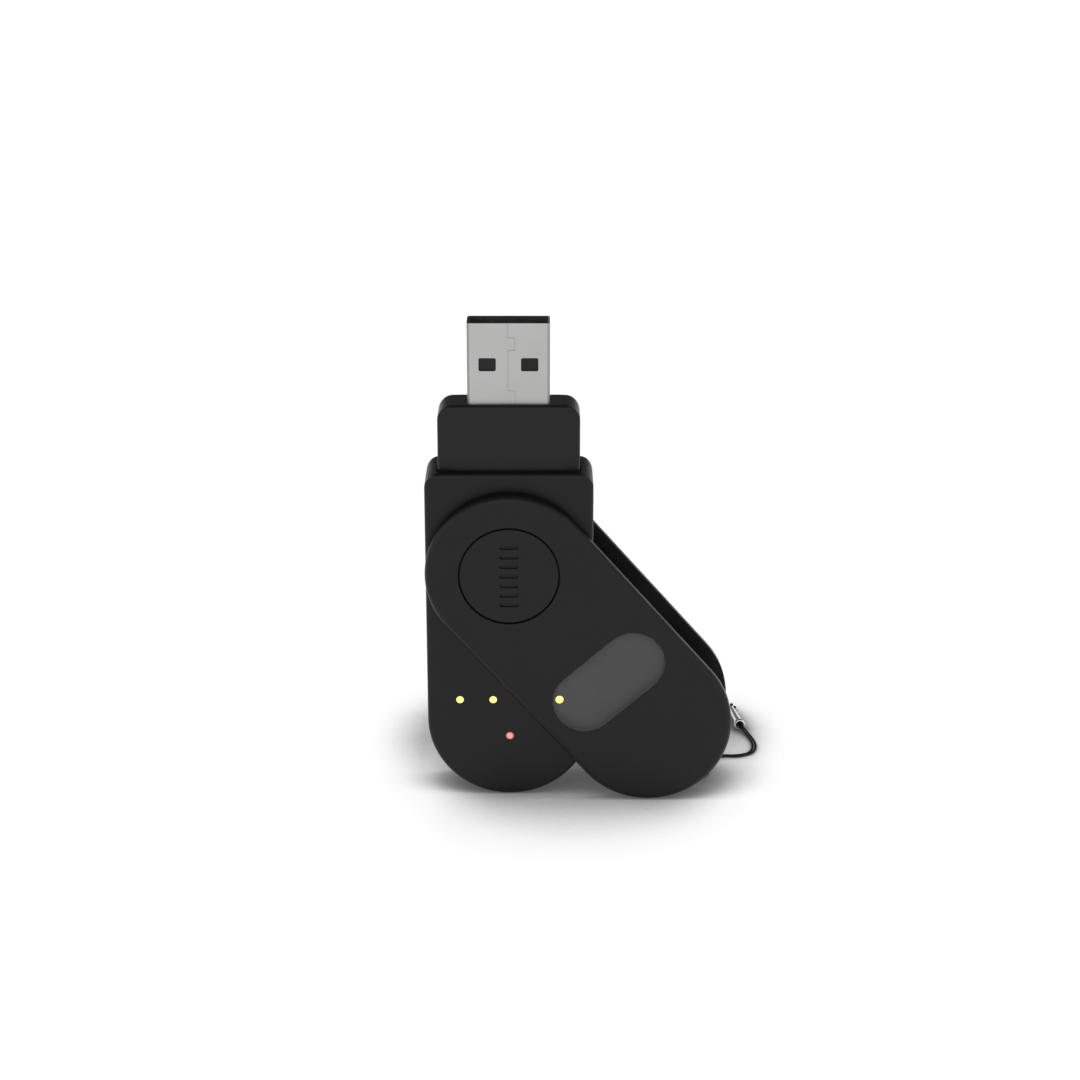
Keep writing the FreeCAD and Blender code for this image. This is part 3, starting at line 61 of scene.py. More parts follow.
def make_camera():
    """Place the camera in front of the stick, looking a little down."""
    data = bpy.data.cameras.new("camera")
    data.sensor_width = CAMERA_SENSOR
    data.lens = CAMERA_LENS
    data.clip_start = 0.01
    camera = bpy.data.objects.new("camera", data)
    camera.location = CAMERA_PLACE
    camera.rotation_euler = (math.radians(CAMERA_TILT), 0, 0)
    bpy.context.scene.collection.objects.link(camera)
    bpy.context.scene.camera = camera


# ---------------------------------------------------------------------------------------------------------
# Materials
# ---------------------------------------------------------------------------------------------------------
class Nodes:
    """Short ways to add nodes to a tree."""

    def __init__(self, tree):
        self.tree = tree

    def node(self, kind, **inputs):
        """Add a node and set or link its inputs by name."""
        node = self.tree.nodes.new(kind)
        for name, value in inputs.items():
            self.feed(node.inputs[name.replace("_", " ")], value)
        return node

    def feed(self, socket, value):
        """Link a socket to another node's output, or set its value."""
        if isinstance(value, bpy.types.NodeSocket):
            self.tree.links.new(value, socket)
        else:
            socket.default_value = value

    def sum(self, operation, first, second=0.0):
        """Return the result of a sum with one or two numbers."""
        node = self.tree.nodes.new("ShaderNodeMath")
        node.operation = operation
        self.feed(node.inputs[0], first)
        self.feed(node.inputs[1], second)
        return node.outputs["Value"]

    def vector(self, operation, first, second=(0, 0, 0)):
        """Return the node that works on one or two vectors."""
        node = self.tree.nodes.new("ShaderNodeVectorMath")
        node.operation = operation
        self.feed(node.inputs[0], first)
        self.feed(node.inputs[1], second)
        return node

    def between(self, factor, low, high, start=0.35, end=0.65, kind="LINEAR"):
        """Return a number that runs from low to high as the factor runs from start to end."""
        node = self.node("ShaderNodeMapRange", Value=factor)
        node.interpolation_type = kind
        for name, value in (("From Min", start), ("From Max", end), ("To Min", low), ("To Max", high)):
            node.inputs[name].default_value = value
        return node.outputs["Result"]


class Finish(Nodes):
    """A Principled material and short ways to vary it over the surface."""

    def __init__(self, name, colour, roughness, **sockets):
        self.material = bpy.data.materials.new(name)
        self.material.use_nodes = True
        super().__init__(self.material.node_tree)
        self.shader = self.tree.nodes["Principled BSDF"]
        self.shader.inputs["Base Color"].default_value = (*colour, 1.0)
        self.shader.inputs["Roughness"].default_value = roughness
        for socket, value in sockets.items():
            self.shader.inputs[socket.replace("_", " ")].default_value = value
        self.place = self.node("ShaderNodeTexCoord").outputs["Object"]
        self.normal = None

    def stretched(self, scale):
        """Return the object's coordinates scaled along each axis."""
        return self.node("ShaderNodeMapping", Vector=self.place, Scale=scale).outputs["Vector"]

    def noise(self, scale, detail=2.0, stretch=(1, 1, 1)):
        """Return a noise pattern with features of about 1 / scale metres."""
        node = self.node("ShaderNodeTexNoise", Vector=self.stretched(stretch), Scale=scale, Detail=detail)
        return node.outputs["Fac"]

    def tint(self, factor, first, second):
        """Return a colour that runs from the first to the second by the factor."""
        node = self.tree.nodes.new("ShaderNodeMix")
        node.data_type = "RGBA"
        self.feed(node.inputs[0], factor)
        node.inputs[6].default_value = (*first, 1.0)
        node.inputs[7].default_value = (*second, 1.0)
        return node.outputs[2]

    def colour(self, factor, first, second):
        """Vary the base colour from the first to the second by the factor."""
        self.feed(self.shader.inputs["Base Color"], self.tint(factor, first, second))
        return self

    def roughness(self, factor, low, high):
        """Vary the roughness between two values by the factor."""
        self.feed(self.shader.inputs["Roughness"], self.between(factor, low, high))
        return self

    def relief(self, height, strength, distance):
        """Add a relief of a height pattern, on top of any earlier one."""
        bump = self.node("ShaderNodeBump", Height=height, Strength=strength, Distance=distance)
        if self.normal is not None:
            self.feed(bump.inputs["Normal"], self.normal)
        self.normal = bump.outputs["Normal"]
        self.feed(self.shader.inputs["Normal"], self.normal)
        return self


def moulded_plastic(name, colour, roughness=0.42, grain=0.35, specular=0.25):
    """Moulded plastic or ceramic with fine spark grain and faint flow marks."""
    finish = Finish(name, colour, roughness, Specular_IOR_Level=specular)
    grain_pattern = finish.noise(5200, detail=3.0)
    flow = finish.noise(140, detail=4.0, stretch=(1, 1, 0.5))
    lighter = tuple(1.25 * channel for channel in colour)
    finish.colour(finish.between(flow, 0.0, 1.0), colour, lighter)
    finish.roughness(flow, roughness - 0.04, roughness + 0.05)
    finish.relief(flow, 0.08, 0.00002)
    finish.relief(grain_pattern, grain, 0.00001)
    return finish.material


def plated_steel(name, grey):
    """Nickel-plated sheet steel with fine drawing marks along the plug."""
    finish = Finish(name, (grey, grey, 0.99 * grey), 0.45, Metallic=0.9)
    drawn = finish.noise(900, detail=3.0, stretch=(14, 14, 0.5))
    cloud = finish.noise(160, detail=2.0)
    dark, pale = (tuple(share * channel for channel in (grey, grey, 0.99 * grey)) for share in (0.97, 1.03))
    finish.colour(finish.between(cloud, 0.0, 1.0), dark, pale)
    finish.roughness(cloud, 0.42, 0.48)
    finish.relief(drawn, 0.03, 0.000003)
    return finish.material


def plug_inside_painted_shade():
    """The same sheet inside the plug, painted dark: painted shade for the shade inside the shell."""
    finish = Finish("plug_inside_painted_shade", (0.03, 0.03, 0.03), 0.6, Metallic=0.3)
    cloud = finish.noise(400, detail=2.0)
    finish.colour(finish.between(cloud, 0.0, 1.0), (0.02, 0.02, 0.02), (0.04, 0.04, 0.04))
    return finish.material


def polished_metal(name, colour, roughness=0.08):
    """Bright plated metal with faint handling marks."""
    finish = Finish(name, colour, roughness, Metallic=1.0)
    marks = finish.noise(1500, detail=5.0, stretch=(1, 4, 1))
    finish.roughness(marks, roughness, roughness + 0.10)
    finish.relief(marks, 0.10, 0.000004)
    return finish.material


# Width of the painted shade along the lens's border
LENS_PAINTED_SHADE_WIDTH = 0.0015


def smoked_acrylic(centre, along, half_run, rim):
    """Smoked see-through acrylic with a very light haze, and painted shade that darkens it towards the rim of
    its rounded slot.
    """
    finish = Finish("smoked_acrylic", (0.11, 0.11, 0.112), 0.10, Specular_IOR_Level=0.5, Alpha=0.42)
    place = finish.vector("SUBTRACT", finish.place, centre).outputs["Vector"]
    sides = []
    for direction in (along, (-along[2], 0, along[0])):
        share = finish.vector("DOT_PRODUCT", place, direction)
        sides.append(finish.sum("ABSOLUTE", share.outputs["Value"]))
    past = finish.sum("MAXIMUM", finish.sum("SUBTRACT", sides[0], half_run), 0.0)
    squares = finish.sum("ADD", finish.sum("POWER", past, 2.0), finish.sum("POWER", sides[1], 2.0))
    # Painted shade: the base colour darkens towards the rim of the slot.
    shade = finish.between(finish.sum("POWER", squares, 0.5), 0.0, 1.0, rim - LENS_PAINTED_SHADE_WIDTH, rim)
    finish.colour(finish.sum("POWER", shade, 2.0), (0.105, 0.105, 0.107), (0.06, 0.06, 0.061))
    haze = finish.noise(300, detail=4.0)
    finish.roughness(haze, 0.08, 0.14)
    return finish.material


def lit_pipe(name, core, rim, strength, reach):
    """Clear acrylic light pipe lit from behind: a bright core that fades to a deeper rim over its reach."""
    finish = Finish(name, rim, 0.25, Specular_IOR_Level=0.4)
    across = finish.vector("LENGTH", finish.stretched((1, 0, 1)))
    fade = finish.between(across.outputs["Value"], 0.0, 1.0, *reach)
    finish.feed(finish.shader.inputs["Emission Color"], finish.tint(fade, core, rim))
    finish.shader.inputs["Emission Strength"].default_value = strength
    sparkle = finish.noise(4000, detail=2.0)
    finish.relief(sparkle, 0.15, 0.00001)
    return finish.material


def braided_cord():
    """Black braided cord: slanting strands that cross, a little fuzzy."""
    finish = Finish("braided_cord", (0.012, 0.012, 0.013), 0.75, Specular_IOR_Level=0.3)
    waves = []
    for turn in (38, -38):
        slant = finish.node("ShaderNodeMapping", Vector=finish.place)
        slant.inputs["Rotation"].default_value = (math.radians(turn), math.radians(turn), 0)
        wave = finish.node("ShaderNodeTexWave", Vector=slant.outputs["Vector"], Scale=2600.0)
        waves.append(wave.outputs["Fac"])
    lattice = finish.sum("MAXIMUM", *waves)
    finish.colour(lattice, (0.006, 0.006, 0.007), (0.022, 0.022, 0.024))
    finish.relief(lattice, 0.6, 0.00003)
    return finish.material


def solder_mask():
    """Green solder mask with faint tracks under it."""
    finish = Finish("solder_mask", (0.015, 0.10, 0.045), 0.30, Coat_Weight=0.5)
    cells = finish.node("ShaderNodeTexVoronoi", Vector=finish.stretched((1, 0, 1)), Scale=700.0)
    cells.distance = "MANHATTAN"
    tracks = finish.between(cells.outputs["Distance"], 0.0, 1.0, 0.25, 0.45)
    finish.colour(tracks, (0.02, 0.13, 0.055), (0.012, 0.085, 0.038))
    finish.relief(tracks, 0.3, 0.00002)
    return finish.material


def soft_rubber():
    """Matt black rubber with a dusty bloom."""
    finish = Finish("soft_rubber", (0.02, 0.02, 0.02), 0.8, Specular_IOR_Level=0.3)
    bloom = finish.noise(900, detail=4.0)
    finish.colour(finish.between(bloom, 0.0, 1.0), (0.016, 0.016, 0.016), (0.028, 0.028, 0.028))
    finish.relief(bloom, 0.3, 0.00002)
    return finish.material


def lamp_body(name, colour):
    """Moulded lamp package with a slightly cloudy lens."""
    finish = Finish(name, colour, 0.3, Specular_IOR_Level=0.5)
    cloud = finish.noise(2500, detail=3.0)
    pale = tuple(min(1.0, 1.2 * channel) for channel in colour)
    finish.colour(finish.between(cloud, 0.0, 1.0), colour, pale)
    finish.roughness(cloud, 0.25, 0.40)
    return finish.material


# ---------------------------------------------------------------------------------------------------------
# Meshes
# ---------------------------------------------------------------------------------------------------------
SHARP = math.radians(25)
SHARP_ON_LATHE = math.radians(40)
LEVEL = math.radians(0.4)
SAME_PLACE = 1e-6


def add_piece(name, data, material, body, node, place=(0, 0, 0)):
    """Make a piece from a mesh or curve that rides on a body and stands for a CAD node."""
    piece = bpy.data.objects.new(name, data)
    piece.location = place
    bpy.context.scene.collection.objects.link(piece)
    data.materials.append(material)
    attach(piece, body)
    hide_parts(node)
    return piece


def smooth_by_angle(shape, angle=SHARP):
    """Shade every face smooth and mark the edges sharper than the angle."""
    for face in shape.faces:
        face.smooth = True
    for edge in shape.edges:
        edge.smooth = len(edge.link_faces) == 2 and edge.calc_face_angle(0.0) < angle


def refine(node, material, body, bevel=0.0):
    """Rebuild a CAD node as a piece with clean faces, eased edges and smooth shading.

    The edges in the mid-plane stay sharp, because the front and rear halves meet there.
    """
    shape = bmesh.new()
    shape.from_mesh(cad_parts[node].data)
    bmesh.ops.remove_doubles(shape, verts=shape.verts, dist=SAME_PLACE)
    bmesh.ops.dissolve_limit(shape, angle_limit=LEVEL, verts=shape.verts, edges=shape.edges)
    if bevel:
        crisp = [edge for edge in shape.edges
                 if len(edge.link_faces) == 2 and edge.calc_face_angle(0.0) > SHARP
                 and any(abs(vert.co.y) >= SAME_PLACE for vert in edge.verts)]
        bmesh.ops.bevel(shape, geom=crisp, offset=bevel, offset_type="OFFSET", segments=2,
                        profile=0.5, affect="EDGES", clamp_overlap=True)
    smooth_by_angle(shape)
    mesh = bpy.data.meshes.new(node)
    shape.to_mesh(mesh)
    shape.free()
    piece = add_piece(node + "_looks", mesh, material, body, node)
    even = piece.modifiers.new("even_normals", "WEIGHTED_NORMAL")
    even.keep_sharp = True
    return piece


def repaint(piece, material, wanted):
    """Give the faces of a piece for which wanted(centre, normal) is true another material."""
    piece.data.materials.append(material)
    for face in piece.data.polygons:
        if wanted(face.center, face.normal):
            face.material_index = len(piece.data.materials) - 1


def lathe(name, profile, start, direction, steps=48):
    """Turn a profile of (along, radius) pairs about an axis; a radius of zero closes the shape."""
    shape = bmesh.new()
    rings = []
    for along, radius in profile:
        if radius == 0:
            rings.append([shape.verts.new((0, 0, along))])
            continue
        angles = [2 * math.pi * step / steps for step in range(steps)]
        rings.append([shape.verts.new((radius * math.cos(a), radius * math.sin(a), along)) for a in angles])
    for low, high in zip(rings, rings[1:]):
        for step in range(steps):
            ahead = (step + 1) % steps
            if len(low) == 1:
                corners = (low[0], high[ahead], high[step])
            elif len(high) == 1:
                corners = (low[step], low[ahead], high[0])
            else:
                corners = (low[step], low[ahead], high[ahead], high[step])
            shape.faces.new(corners)
    bmesh.ops.recalc_face_normals(shape, faces=shape.faces)
    turn = Vector((0, 0, 1)).rotation_difference(Vector(direction)).to_matrix().to_4x4()
    shape.transform(Matrix.Translation(start) @ turn)
    smooth_by_angle(shape, SHARP_ON_LATHE)
    mesh = bpy.data.meshes.new(name)
    shape.to_mesh(mesh)
    shape.free()
    return mesh


# ---------------------------------------------------------------------------------------------------------
# Lanyard: its cord runs from the first knot through the ferrule to the pin and back to the second knot
# ---------------------------------------------------------------------------------------------------------
CORD_ROUTE = [
    (0.02597, 0.02825, 0.00045),
    (0.02558, 0.02686, 0.00050),
    (0.02559, 0.02543, 0.00057),
    (0.02587, 0.02365, 0.00065),
    (0.02613, 0.02139, 0.00069),
    (0.02634, 0.01935, 0.00074),
    (0.02677, 0.01830, 0.00062),
    (0.02729, 0.01719, 0.00035),
    (0.02768, 0.01608, 0.00022),
    (0.02801, 0.01469, 0.00016),
    (0.02818, 0.01344, 0.00016),
    (0.02811, 0.01224, 0.00016),
    (0.02786, 0.01103, 0.00016),
    (0.02744, 0.01019, 0.00016),
    (0.02689, 0.00957, 0.00017),
    (0.02599, 0.00920, 0.00017),
    (0.02478, 0.00892, 0.00017),
    (0.02335, 0.00905, 0.00017),
    (0.02191, 0.00897, 0.00017),
    (0.02078, 0.00782, 0.00018),
    (0.02027, 0.00606, 0.00018),
    (0.02001, 0.00427, 0.00031),
    (0.01985, 0.00275, 0.00090),
    (0.01935, 0.00145, 0.00195),
    (0.01840, 0.00102, 0.00340),
    (0.017148, 0.00100, 0.004863),
    (0.017148, -0.00100, 0.004863),
    (0.01842, -0.00103, 0.00342),
    (0.01928, -0.00092, 0.00205),
    (0.01980, -0.00005, 0.00105),
    (0.02018, 0.00140, 0.00045),
    (0.02051, 0.00331, 0.00017),
    (0.02069, 0.00515, 0.00017),
    (0.02114, 0.00707, 0.00017),
    (0.02210, 0.00844, 0.00017),
    (0.02349, 0.00869, 0.00017),
    (0.02457, 0.00854, 0.00017),
    (0.02541, 0.00858, 0.00017),
    (0.02631, 0.00890, 0.00017),
    (0.02713, 0.00938, 0.00017),
    (0.02770, 0.00982, 0.00016),
    (0.02821, 0.01066, 0.00016),
    (0.02852, 0.01171, 0.00016),
    (0.02865, 0.01284, 0.00016),
    (0.02859, 0.01414, 0.00016),
    (0.02829, 0.01555, 0.00021),
    (0.02791, 0.01662, 0.00033),
    (0.02745, 0.01773, 0.00055),
    (0.02707, 0.01851, 0.00071),
    (0.02669, 0.01953, 0.00076),
    (0.02651, 0.02142, 0.00069),
    (0.02621, 0.02369, 0.00065),
    (0.02597, 0.02548, 0.00057),
    (0.02595, 0.02655, 0.00052),
    (0.02640, 0.02720, 0.00045),
]
PAST_PIN = 26
CORD_RADIUS = 0.00015
KNOT_RADIUS = 0.00027
KNOT_RUNS = 96
KNOT_SWELL = 1.05
KNOT_DEPTH = 1.25
FERRULE_MOUTH = Vector((0.02656, 0.01886, 0.00096))
FERRULE_TAIL = Vector((0.02577, 0.02635, 0.00054))
FERRULE_BORE = 0.00065
# Ferrule's rounded rim, also in millimetres
RIM_RADIUS = 0.93
RIM_ROUNDING = 0.2
RIM_STEPS = 5
# Ferrule's half section in millimetres: distance from the mouth and radius, before and after the rounded rim
FERRULE_INSIDE = [(7.5, 0.40), (0.6, 0.60), (0.2, 0.62), (0.0, 0.66), (0.0, 0.73)]
FERRULE_OUTSIDE = [(0.45, 0.93), (0.55, 0.90), (0.6, 0.84), (0.68, 0.82), (7.3, 0.54), (7.46, 0.50),
                   (7.5, 0.40)]


def make_strand(number, route, material):
    """Make one strand of the lanyard as one smooth curve."""
    name = "lanyard_strand_%d_looks" % number
    curve = bpy.data.curves.new(name, "CURVE")
    curve.dimensions = "3D"
    curve.bevel_depth = CORD_RADIUS
    curve.bevel_resolution = 4
    curve.resolution_u = 10
    curve.use_fill_caps = True
    spline = curve.splines.new("NURBS")
    spline.points.add(len(route) - 1)
    for point, place in zip(spline.points, route):
        point.co = (*place, 1.0)
    spline.order_u = 3
    spline.use_endpoint_u = True
    return add_piece(name, curve, material, "cover", "lanyard_cord")


def make_knot(number, place, material):
    """Make one knot: the cord's end wound into a small tight trefoil."""
    name = "lanyard_knot_%d" % number
    curve = bpy.data.curves.new(name, "CURVE")
    curve.dimensions = "3D"
    curve.bevel_depth = KNOT_SWELL * CORD_RADIUS
    curve.bevel_resolution = 4
    spline = curve.splines.new("POLY")
    spline.points.add(KNOT_RUNS - 1)
    spline.use_cyclic_u = True
    size = (KNOT_RADIUS - CORD_RADIUS) / 3
    for index, point in enumerate(spline.points):
        turn = 2 * math.pi * index / KNOT_RUNS
        ring = 2 + math.cos(3 * turn)
        rise = KNOT_DEPTH * math.sin(3 * turn)
        local = Vector((ring * math.cos(2 * turn), rise, ring * math.sin(2 * turn)))
        point.co = (*(Vector(place) + local * size), 1.0)
    return add_piece(name + "_looks", curve, material, "cover", name)


def make_ferrule():
    """Make the chrome bell ferrule: a rolled rim round its mouth, a tapered barrel and a satin bore."""
    rounding = []
    for step in range(1, RIM_STEPS + 1):
        turn = math.pi / 2 * step / RIM_STEPS
        rounding.append((RIM_ROUNDING * (1 - math.cos(turn)),
                         RIM_RADIUS - RIM_ROUNDING * (1 - math.sin(turn))))
    profile = [(along * MM, radius * MM) for along, radius in FERRULE_INSIDE + rounding + FERRULE_OUTSIDE]
    axis = (FERRULE_TAIL - FERRULE_MOUTH).normalized()
    mesh = lathe("lanyard_ferrule", profile, FERRULE_MOUTH, axis)
    chrome = polished_metal("chrome", (0.70, 0.70, 0.71))
    piece = add_piece("lanyard_ferrule_looks", mesh, chrome, "cover", "lanyard_ferrule")

    def inside(centre, normal):
        reach = centre - FERRULE_MOUTH
        radial = reach - axis * reach.dot(axis)
        return radial.dot(normal) < 0 and radial.length < FERRULE_BORE

    repaint(piece, lamp_body("satin_nickel", (0.55, 0.55, 0.54)), inside)
    return piece


def make_lanyard():
    """Make the ferrule and the doubled cord: two strands that meet on the pin, each with a knot."""
    ferrule = make_ferrule()
    braid = braided_cord()
    turn = tuple((Vector(CORD_ROUTE[PAST_PIN - 1]) + Vector(CORD_ROUTE[PAST_PIN])) / 2)
    strands = ((CORD_ROUTE[:PAST_PIN] + [turn], CORD_ROUTE[0], [ferrule.name]),
               ([turn] + CORD_ROUTE[PAST_PIN:], CORD_ROUTE[-1], []))
    for number, (route, end, others) in enumerate(strands, start=1):
        strand = make_strand(number, route, braid)
        knot = make_knot(number, end, braid)


# ---------------------------------------------------------------------------------------------------------
# Lamps
# ---------------------------------------------------------------------------------------------------------
PIPE_RADIUS = 0.0006
PIPE_DOME = 0.00004
PIPE_NECK = 0.0012
PIPE_FLANGE = 0.0006
DOME_RINGS = (0.25, 0.5, 0.7, 0.85, 0.95, 1.0)


def make_light_pipe(node, material):
    """Make a light pipe: its slightly domed end, the flange behind the casing's wall and its rod."""
    low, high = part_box(node)
    depth = high.y - low.y
    flange_radius = (high.x - low.x) / 2
    flange_end = PIPE_NECK + PIPE_FLANGE
    profile = [(PIPE_DOME, 0)]
    profile += [(PIPE_DOME * (1 - share * share), PIPE_RADIUS * share) for share in DOME_RINGS]
    profile += [(-PIPE_NECK, PIPE_RADIUS), (-PIPE_NECK, flange_radius), (-flange_end, flange_radius),
                (-flange_end, PIPE_RADIUS), (-depth, PIPE_RADIUS), (-depth, 0)]
    mesh = lathe(node, profile, Vector((0, 0, 0)), Vector((0, -1, 0)), steps=40)
    place = ((low.x + high.x) / 2, low.y, (low.z + high.z) / 2)
    add_piece(node + "_looks", mesh, material, "stick", node, place)


# ---------------------------------------------------------------------------------------------------------
# Stage
# ---------------------------------------------------------------------------------------------------------
FLOOR_REACH = 3.0

# Painted shade on the paper: its brightness by the share of open sky above it
SKY_REACH = 0.06
SKY_SAMPLES = 24
SHADE = ((0.0, 0.07), (0.19, 0.10), (0.30, 0.128), (0.485, 0.25), (0.55, 0.40), (0.60, 0.53), (0.65, 0.66),
         (0.70, 0.80), (0.74, 0.90), (0.78, 0.965), (0.82, 1.0))
PAPER_LIGHT = 1.01
# Painted shadow behind the part, taken off the share of open sky: most over its width, less to both sides
SHADE_BEHIND = (0.28, 0.06)
SHADE_MIDDLE = 0.0015
SHADE_REACH = (0.026, 0.0345)
# Depths over which that painted shadow comes in and fades out, and the open sky over which it fades
BEHIND_SHADOW_IN = (-0.005, 0.016)
BEHIND_SHADOW_OUT = (0.024, 0.045)
BEHIND_SHADOW_SKY = (0.91, 0.97)


def paper_with_painted_shadow():
    """Glowing white paper with painted shade under the part, from its ambient occlusion, and a painted shadow
    behind it, by its place on the floor.
    """
    finish = Finish("paper_with_painted_shadow", (0.0, 0.0, 0.0), 0.9, Specular_IOR_Level=0.0)
    occlusion = finish.node("ShaderNodeAmbientOcclusion", Distance=SKY_REACH)
    occlusion.samples = SKY_SAMPLES
    open_sky = occlusion.outputs["AO"]
    parts = finish.node("ShaderNodeSeparateXYZ", Vector=finish.place)
    aside = finish.sum("ABSOLUTE", finish.sum("SUBTRACT", parts.outputs["X"], SHADE_MIDDLE))
    painted_behind_shadow = finish.between(aside, *SHADE_BEHIND, *SHADE_REACH)
    for factor, low, high, reach in ((parts.outputs["Y"], 0.0, 1.0, BEHIND_SHADOW_IN),
                                     (parts.outputs["Y"], 1.0, 0.0, BEHIND_SHADOW_OUT),
                                     (open_sky, 1.0, 0.0, BEHIND_SHADOW_SKY)):
        painted_behind_shadow = finish.sum("MULTIPLY", painted_behind_shadow, finish.between(factor, low, high, *reach))
    # Painted shade: the paper's glow follows the open sky, less the painted shadow behind the part.
    share = finish.sum("SUBTRACT", open_sky, painted_behind_shadow)
    ramp = finish.node("ShaderNodeValToRGB", Fac=share)
    while len(ramp.color_ramp.elements) < len(SHADE):
        ramp.color_ramp.elements.new(0.5)
    for element, (position, light) in zip(ramp.color_ramp.elements, SHADE):
        element.position = position
        element.color = (light, light, light, 1.0)
    finish.feed(finish.shader.inputs["Emission Color"], ramp.outputs["Color"])
    finish.shader.inputs["Emission Strength"].default_value = PAPER_LIGHT
    return finish.material


def make_stage():
    """Make the pale floor, the surrounding light and the soft front light."""
    mesh = bpy.data.meshes.new("floor")
    corners = [(x * FLOOR_REACH, y * FLOOR_REACH, 0) for x, y in ((-1, -1), (1, -1), (1, 1), (-1, 1))]
    mesh.from_pydata(corners, [], [(0, 1, 2, 3)])
    floor = bpy.data.objects.new("floor", mesh)
    bpy.context.scene.collection.objects.link(floor)
    mesh.materials.append(paper_with_painted_shadow())
    make_studio()
    add_softbox("front_light", place=(-0.10, -0.90, 0.40), target=(0, 0, 0.02), width=0.60, power=0.5)
    bpy.context.scene.view_settings.view_transform = "Standard"


# Surrounding light: dim overhead and behind, brighter in front up to about 35 degrees and at both sides.
# Each pair gives where along one axis of the direction a brighter light starts and where it is full.
DIM_LIGHT = 0.14
FRONT_LIGHT = 0.92
SIDE_LIGHT = 0.45
FORWARD = (0.10, -0.50)
LOW_ENOUGH = (0.80, 0.40)
SIDEWAYS = (0.45, 0.90)


def make_studio():
    """Make the surrounding light, which is plain white to the camera."""
    world = bpy.data.worlds.new("studio")
    world.use_nodes = True
    nodes = Nodes(world.node_tree)
    direction = nodes.node("ShaderNodeTexCoord").outputs["Generated"]
    parts = nodes.node("ShaderNodeSeparateXYZ", Vector=direction).outputs
    front = nodes.sum("MULTIPLY", nodes.between(parts["Y"], 0.0, 1.0, *FORWARD, "SMOOTHSTEP"),
                      nodes.between(parts["Z"], 0.0, 1.0, *LOW_ENOUGH, "SMOOTHSTEP"))
    side = nodes.between(nodes.sum("ABSOLUTE", parts["X"]), 0.0, 1.0, *SIDEWAYS, "SMOOTHSTEP")
    light = nodes.sum("ADD", nodes.sum("MULTIPLY", front, FRONT_LIGHT),
                      nodes.sum("MULTIPLY", side, SIDE_LIGHT))
    strength = nodes.node("ShaderNodeMix")
    nodes.feed(strength.inputs[0], nodes.node("ShaderNodeLightPath").outputs["Is Camera Ray"])
    nodes.feed(strength.inputs[2], nodes.sum("ADD", light, DIM_LIGHT))
    nodes.feed(strength.inputs[3], 1.0)
    background = world.node_tree.nodes["Background"]
    background.inputs["Color"].default_value = (1, 1, 1, 1)
    nodes.feed(background.inputs["Strength"], strength.outputs[0])
    bpy.context.scene.world = world


def add_softbox(name, place, target, width, power):
    """Add a square area light that points at a target."""
    data = bpy.data.lights.new(name, "AREA")
    data.size = width
    data.energy = power
    light = bpy.data.objects.new(name, data)
    light.location = place
    light.rotation_euler = (Vector(target) - Vector(place)).to_track_quat("-Z", "Y").to_euler()
    bpy.context.scene.collection.objects.link(light)


# ---------------------------------------------------------------------------------------------------------
# Pieces made from the CAD nodes
# ---------------------------------------------------------------------------------------------------------
PLUG_SHEET = 0.0004
FACES_SIDEWAYS = 0.3
LENS_LENGTH = 0.0192
LENS_WIDTH = 0.0097
LENS_FLANGE = 0.001


def make_casing():
    """Make the casing halves and the collar."""
    black = moulded_plastic("black_shell", (0.0040, 0.0040, 0.0042))
    for side in ("front", "rear"):
        refine(side + "_shell", black, "stick", bevel=0.00006)
    collar_black = moulded_plastic("black_collar", (0.0055, 0.0055, 0.0058), roughness=0.38)
    refine("plug_collar", collar_black, "stick", bevel=0.00006)


def make_plug():
    """Make the plug's shell, with painted shade inside it and on its narrow sides, and its tongue."""
    plug = refine("plug_shell", plated_steel("plated_steel", 0.45), "stick", bevel=0.00003)
    low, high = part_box("plug_shell")

    def inside(centre, normal):
        return all(low[axis] + PLUG_SHEET / 2 < centre[axis] < high[axis] - PLUG_SHEET / 2 for axis in (0, 1))

    def painted_shade_side(centre, normal):
        return abs(normal.x) > FACES_SIDEWAYS and not low.x + PLUG_SHEET < centre.x < high.x - PLUG_SHEET

    # Painted shade: the faces inside the shell get a dark copy of the steel.
    repaint(plug, plug_inside_painted_shade(), inside)
    # Painted shade: the plug's narrow rounded sides get a darker copy of the same steel.
    repaint(plug, plated_steel("plated_steel_painted_shade_edge", 0.31), painted_shade_side)
    insulator_black = moulded_plastic("insulator_black", (0.006, 0.006, 0.006), roughness=0.35)
    refine("plug_tongue", insulator_black, "stick", bevel=0.00005)


def lens_finish_with_painted_shade():
    """Make the lens's finish and its painted shade, with its rounded slot placed by the box of the lens and
    its flange.
    """
    low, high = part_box("window_lens")
    round_part = Vector((1, 0, 1)) * (LENS_WIDTH + 2 * LENS_FLANGE)
    along = (high - low - round_part) * Vector((1, 0, 1))
    half_run = (LENS_LENGTH - LENS_WIDTH) / 2
    return smoked_acrylic((low + high) / 2, along.normalized(), half_run, LENS_WIDTH / 2)


def make_cover():
    """Make the cover's halves, its lens and the hub caps that hold it."""
    cover_black = moulded_plastic("black_cover", (0.0040, 0.0040, 0.0042))
    cap_black = moulded_plastic("black_cap", (0.0042, 0.0042, 0.0044), roughness=0.45)
    for side in ("front", "rear"):
        refine(side + "_hub_cap", cap_black, "stick", bevel=0.00004)
        refine("cover_" + side, cover_black, "cover", bevel=0.00006)
    refine("window_lens", lens_finish_with_painted_shade(), "cover", bevel=0.00004)


def make_contacts():
    """Make the four gold contacts on the plug's tongue."""
    gold = polished_metal("gold", (0.80, 0.58, 0.26), roughness=0.2)
    for number in range(1, 5):
        refine("plug_contact_%d" % number, gold, "stick", bevel=0.00003)


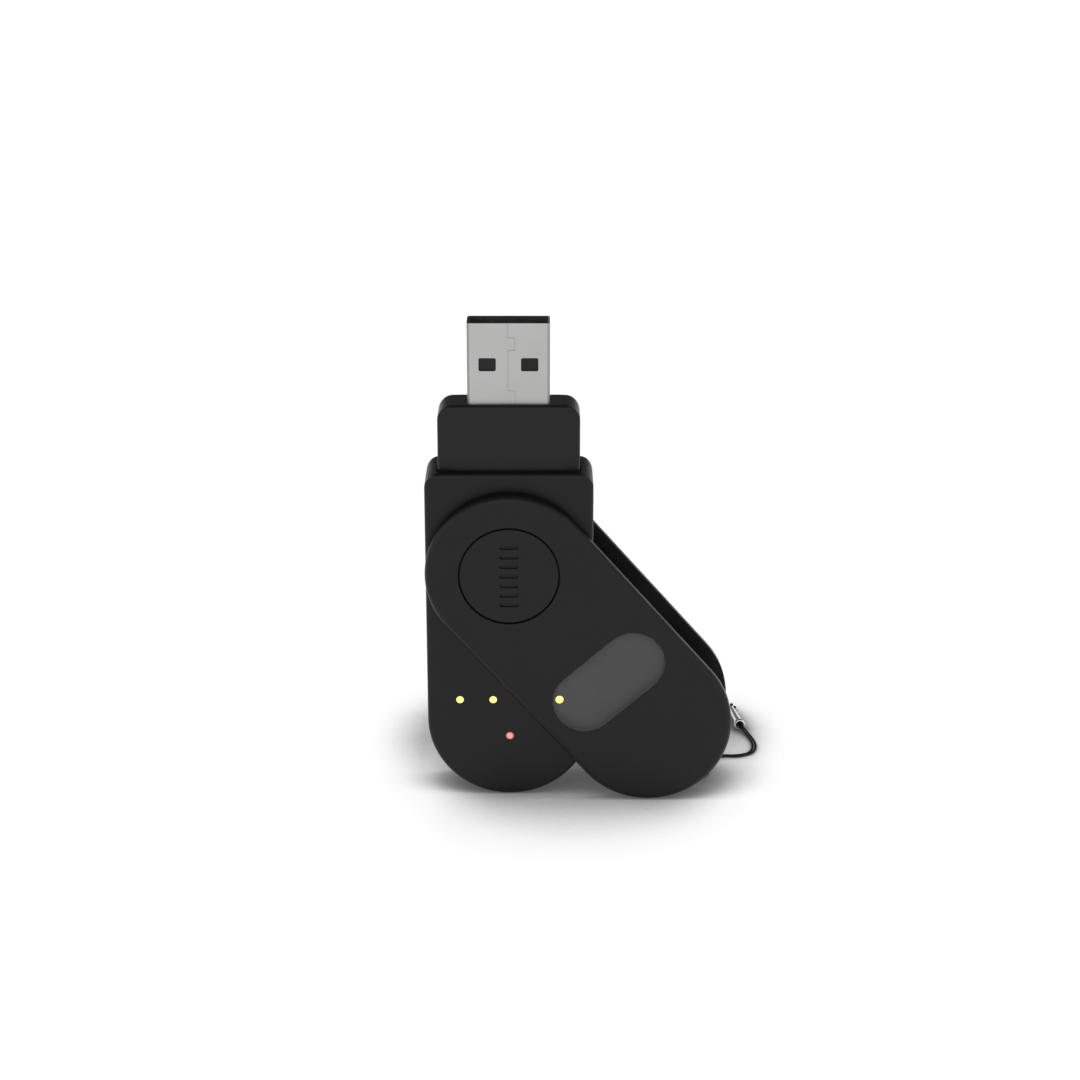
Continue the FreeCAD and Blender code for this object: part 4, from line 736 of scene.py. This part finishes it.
def make_light_pipes():
    """Make the lit ends of the light pipes; the fourth is brighter, because it is seen through the lens."""
    core = (1.0, 1.0, 0.22)
    yellow = lit_pipe("lit_yellow", core, (0.04, 0.04, 0.006), strength=1.7, reach=(0.00050, 0.00057))
    bright_yellow = lit_pipe("lit_yellow_bright", core, (0.75, 0.60, 0.08),
                             strength=4.8, reach=(0.00040, 0.00060))
    for number, glow in enumerate((yellow, yellow, yellow, bright_yellow), start=1):
        make_light_pipe("yellow_light_pipe_%d" % number, glow)
    red = lit_pipe("lit_red", (1.0, 0.28, 0.26), (0.18, 0.02, 0.015),
                   strength=1.4, reach=(0.00034, 0.00058))
    make_light_pipe("red_light_pipe", red)


def make_board():
    """Make the circuit board and what is soldered to it."""
    refine("circuit_board", solder_mask(), "stick")
    package_black = moulded_plastic("package_black", (0.010, 0.010, 0.011), roughness=0.55)
    for node in ("microcontroller", "voltage_regulator", "memory_chip"):
        refine(node, package_black, "stick", bevel=0.00008)
    tin = polished_metal("tin", (0.62, 0.62, 0.61), roughness=0.3)
    for node in ("microcontroller_leads", "memory_chip_leads"):
        refine(node, tin, "stick", bevel=0.00003)
    refine("crystal", tin, "stick", bevel=0.0003)
    ceramic = moulded_plastic("ceramic", (0.30, 0.21, 0.13), roughness=0.5)
    for node in ("capacitors", "resistors"):
        refine(node, ceramic, "stick", bevel=0.00005)
    lamp_yellow = lamp_body("lamp_yellow", (0.80, 0.62, 0.20))
    for number in range(1, 5):
        refine("yellow_lamp_%d" % number, lamp_yellow, "stick", bevel=0.00004)
    refine("red_lamp", lamp_body("lamp_red", (0.80, 0.10, 0.07)), "stick", bevel=0.00004)


def make_fasteners():
    """Make the hub screw, the friction rings, the cover's dowels and the lanyard's pin."""
    zinc = polished_metal("zinc", (0.55, 0.55, 0.56), roughness=0.3)
    refine("hub_screw", zinc, "stick", bevel=0.00008)
    rubber = soft_rubber()
    for side in ("front", "rear"):
        refine(side + "_friction_ring", rubber, "stick", bevel=0.00008)
    for node in ("upper_cover_dowel", "lower_cover_dowel", "lanyard_pin"):
        refine(node, zinc, "cover", bevel=0.00008)


make_camera()
make_stage()
make_lanyard()
make_casing()
make_plug()
make_cover()
make_contacts()
make_light_pipes()
make_board()
make_fasteners()
bpy.context.view_layer.update()
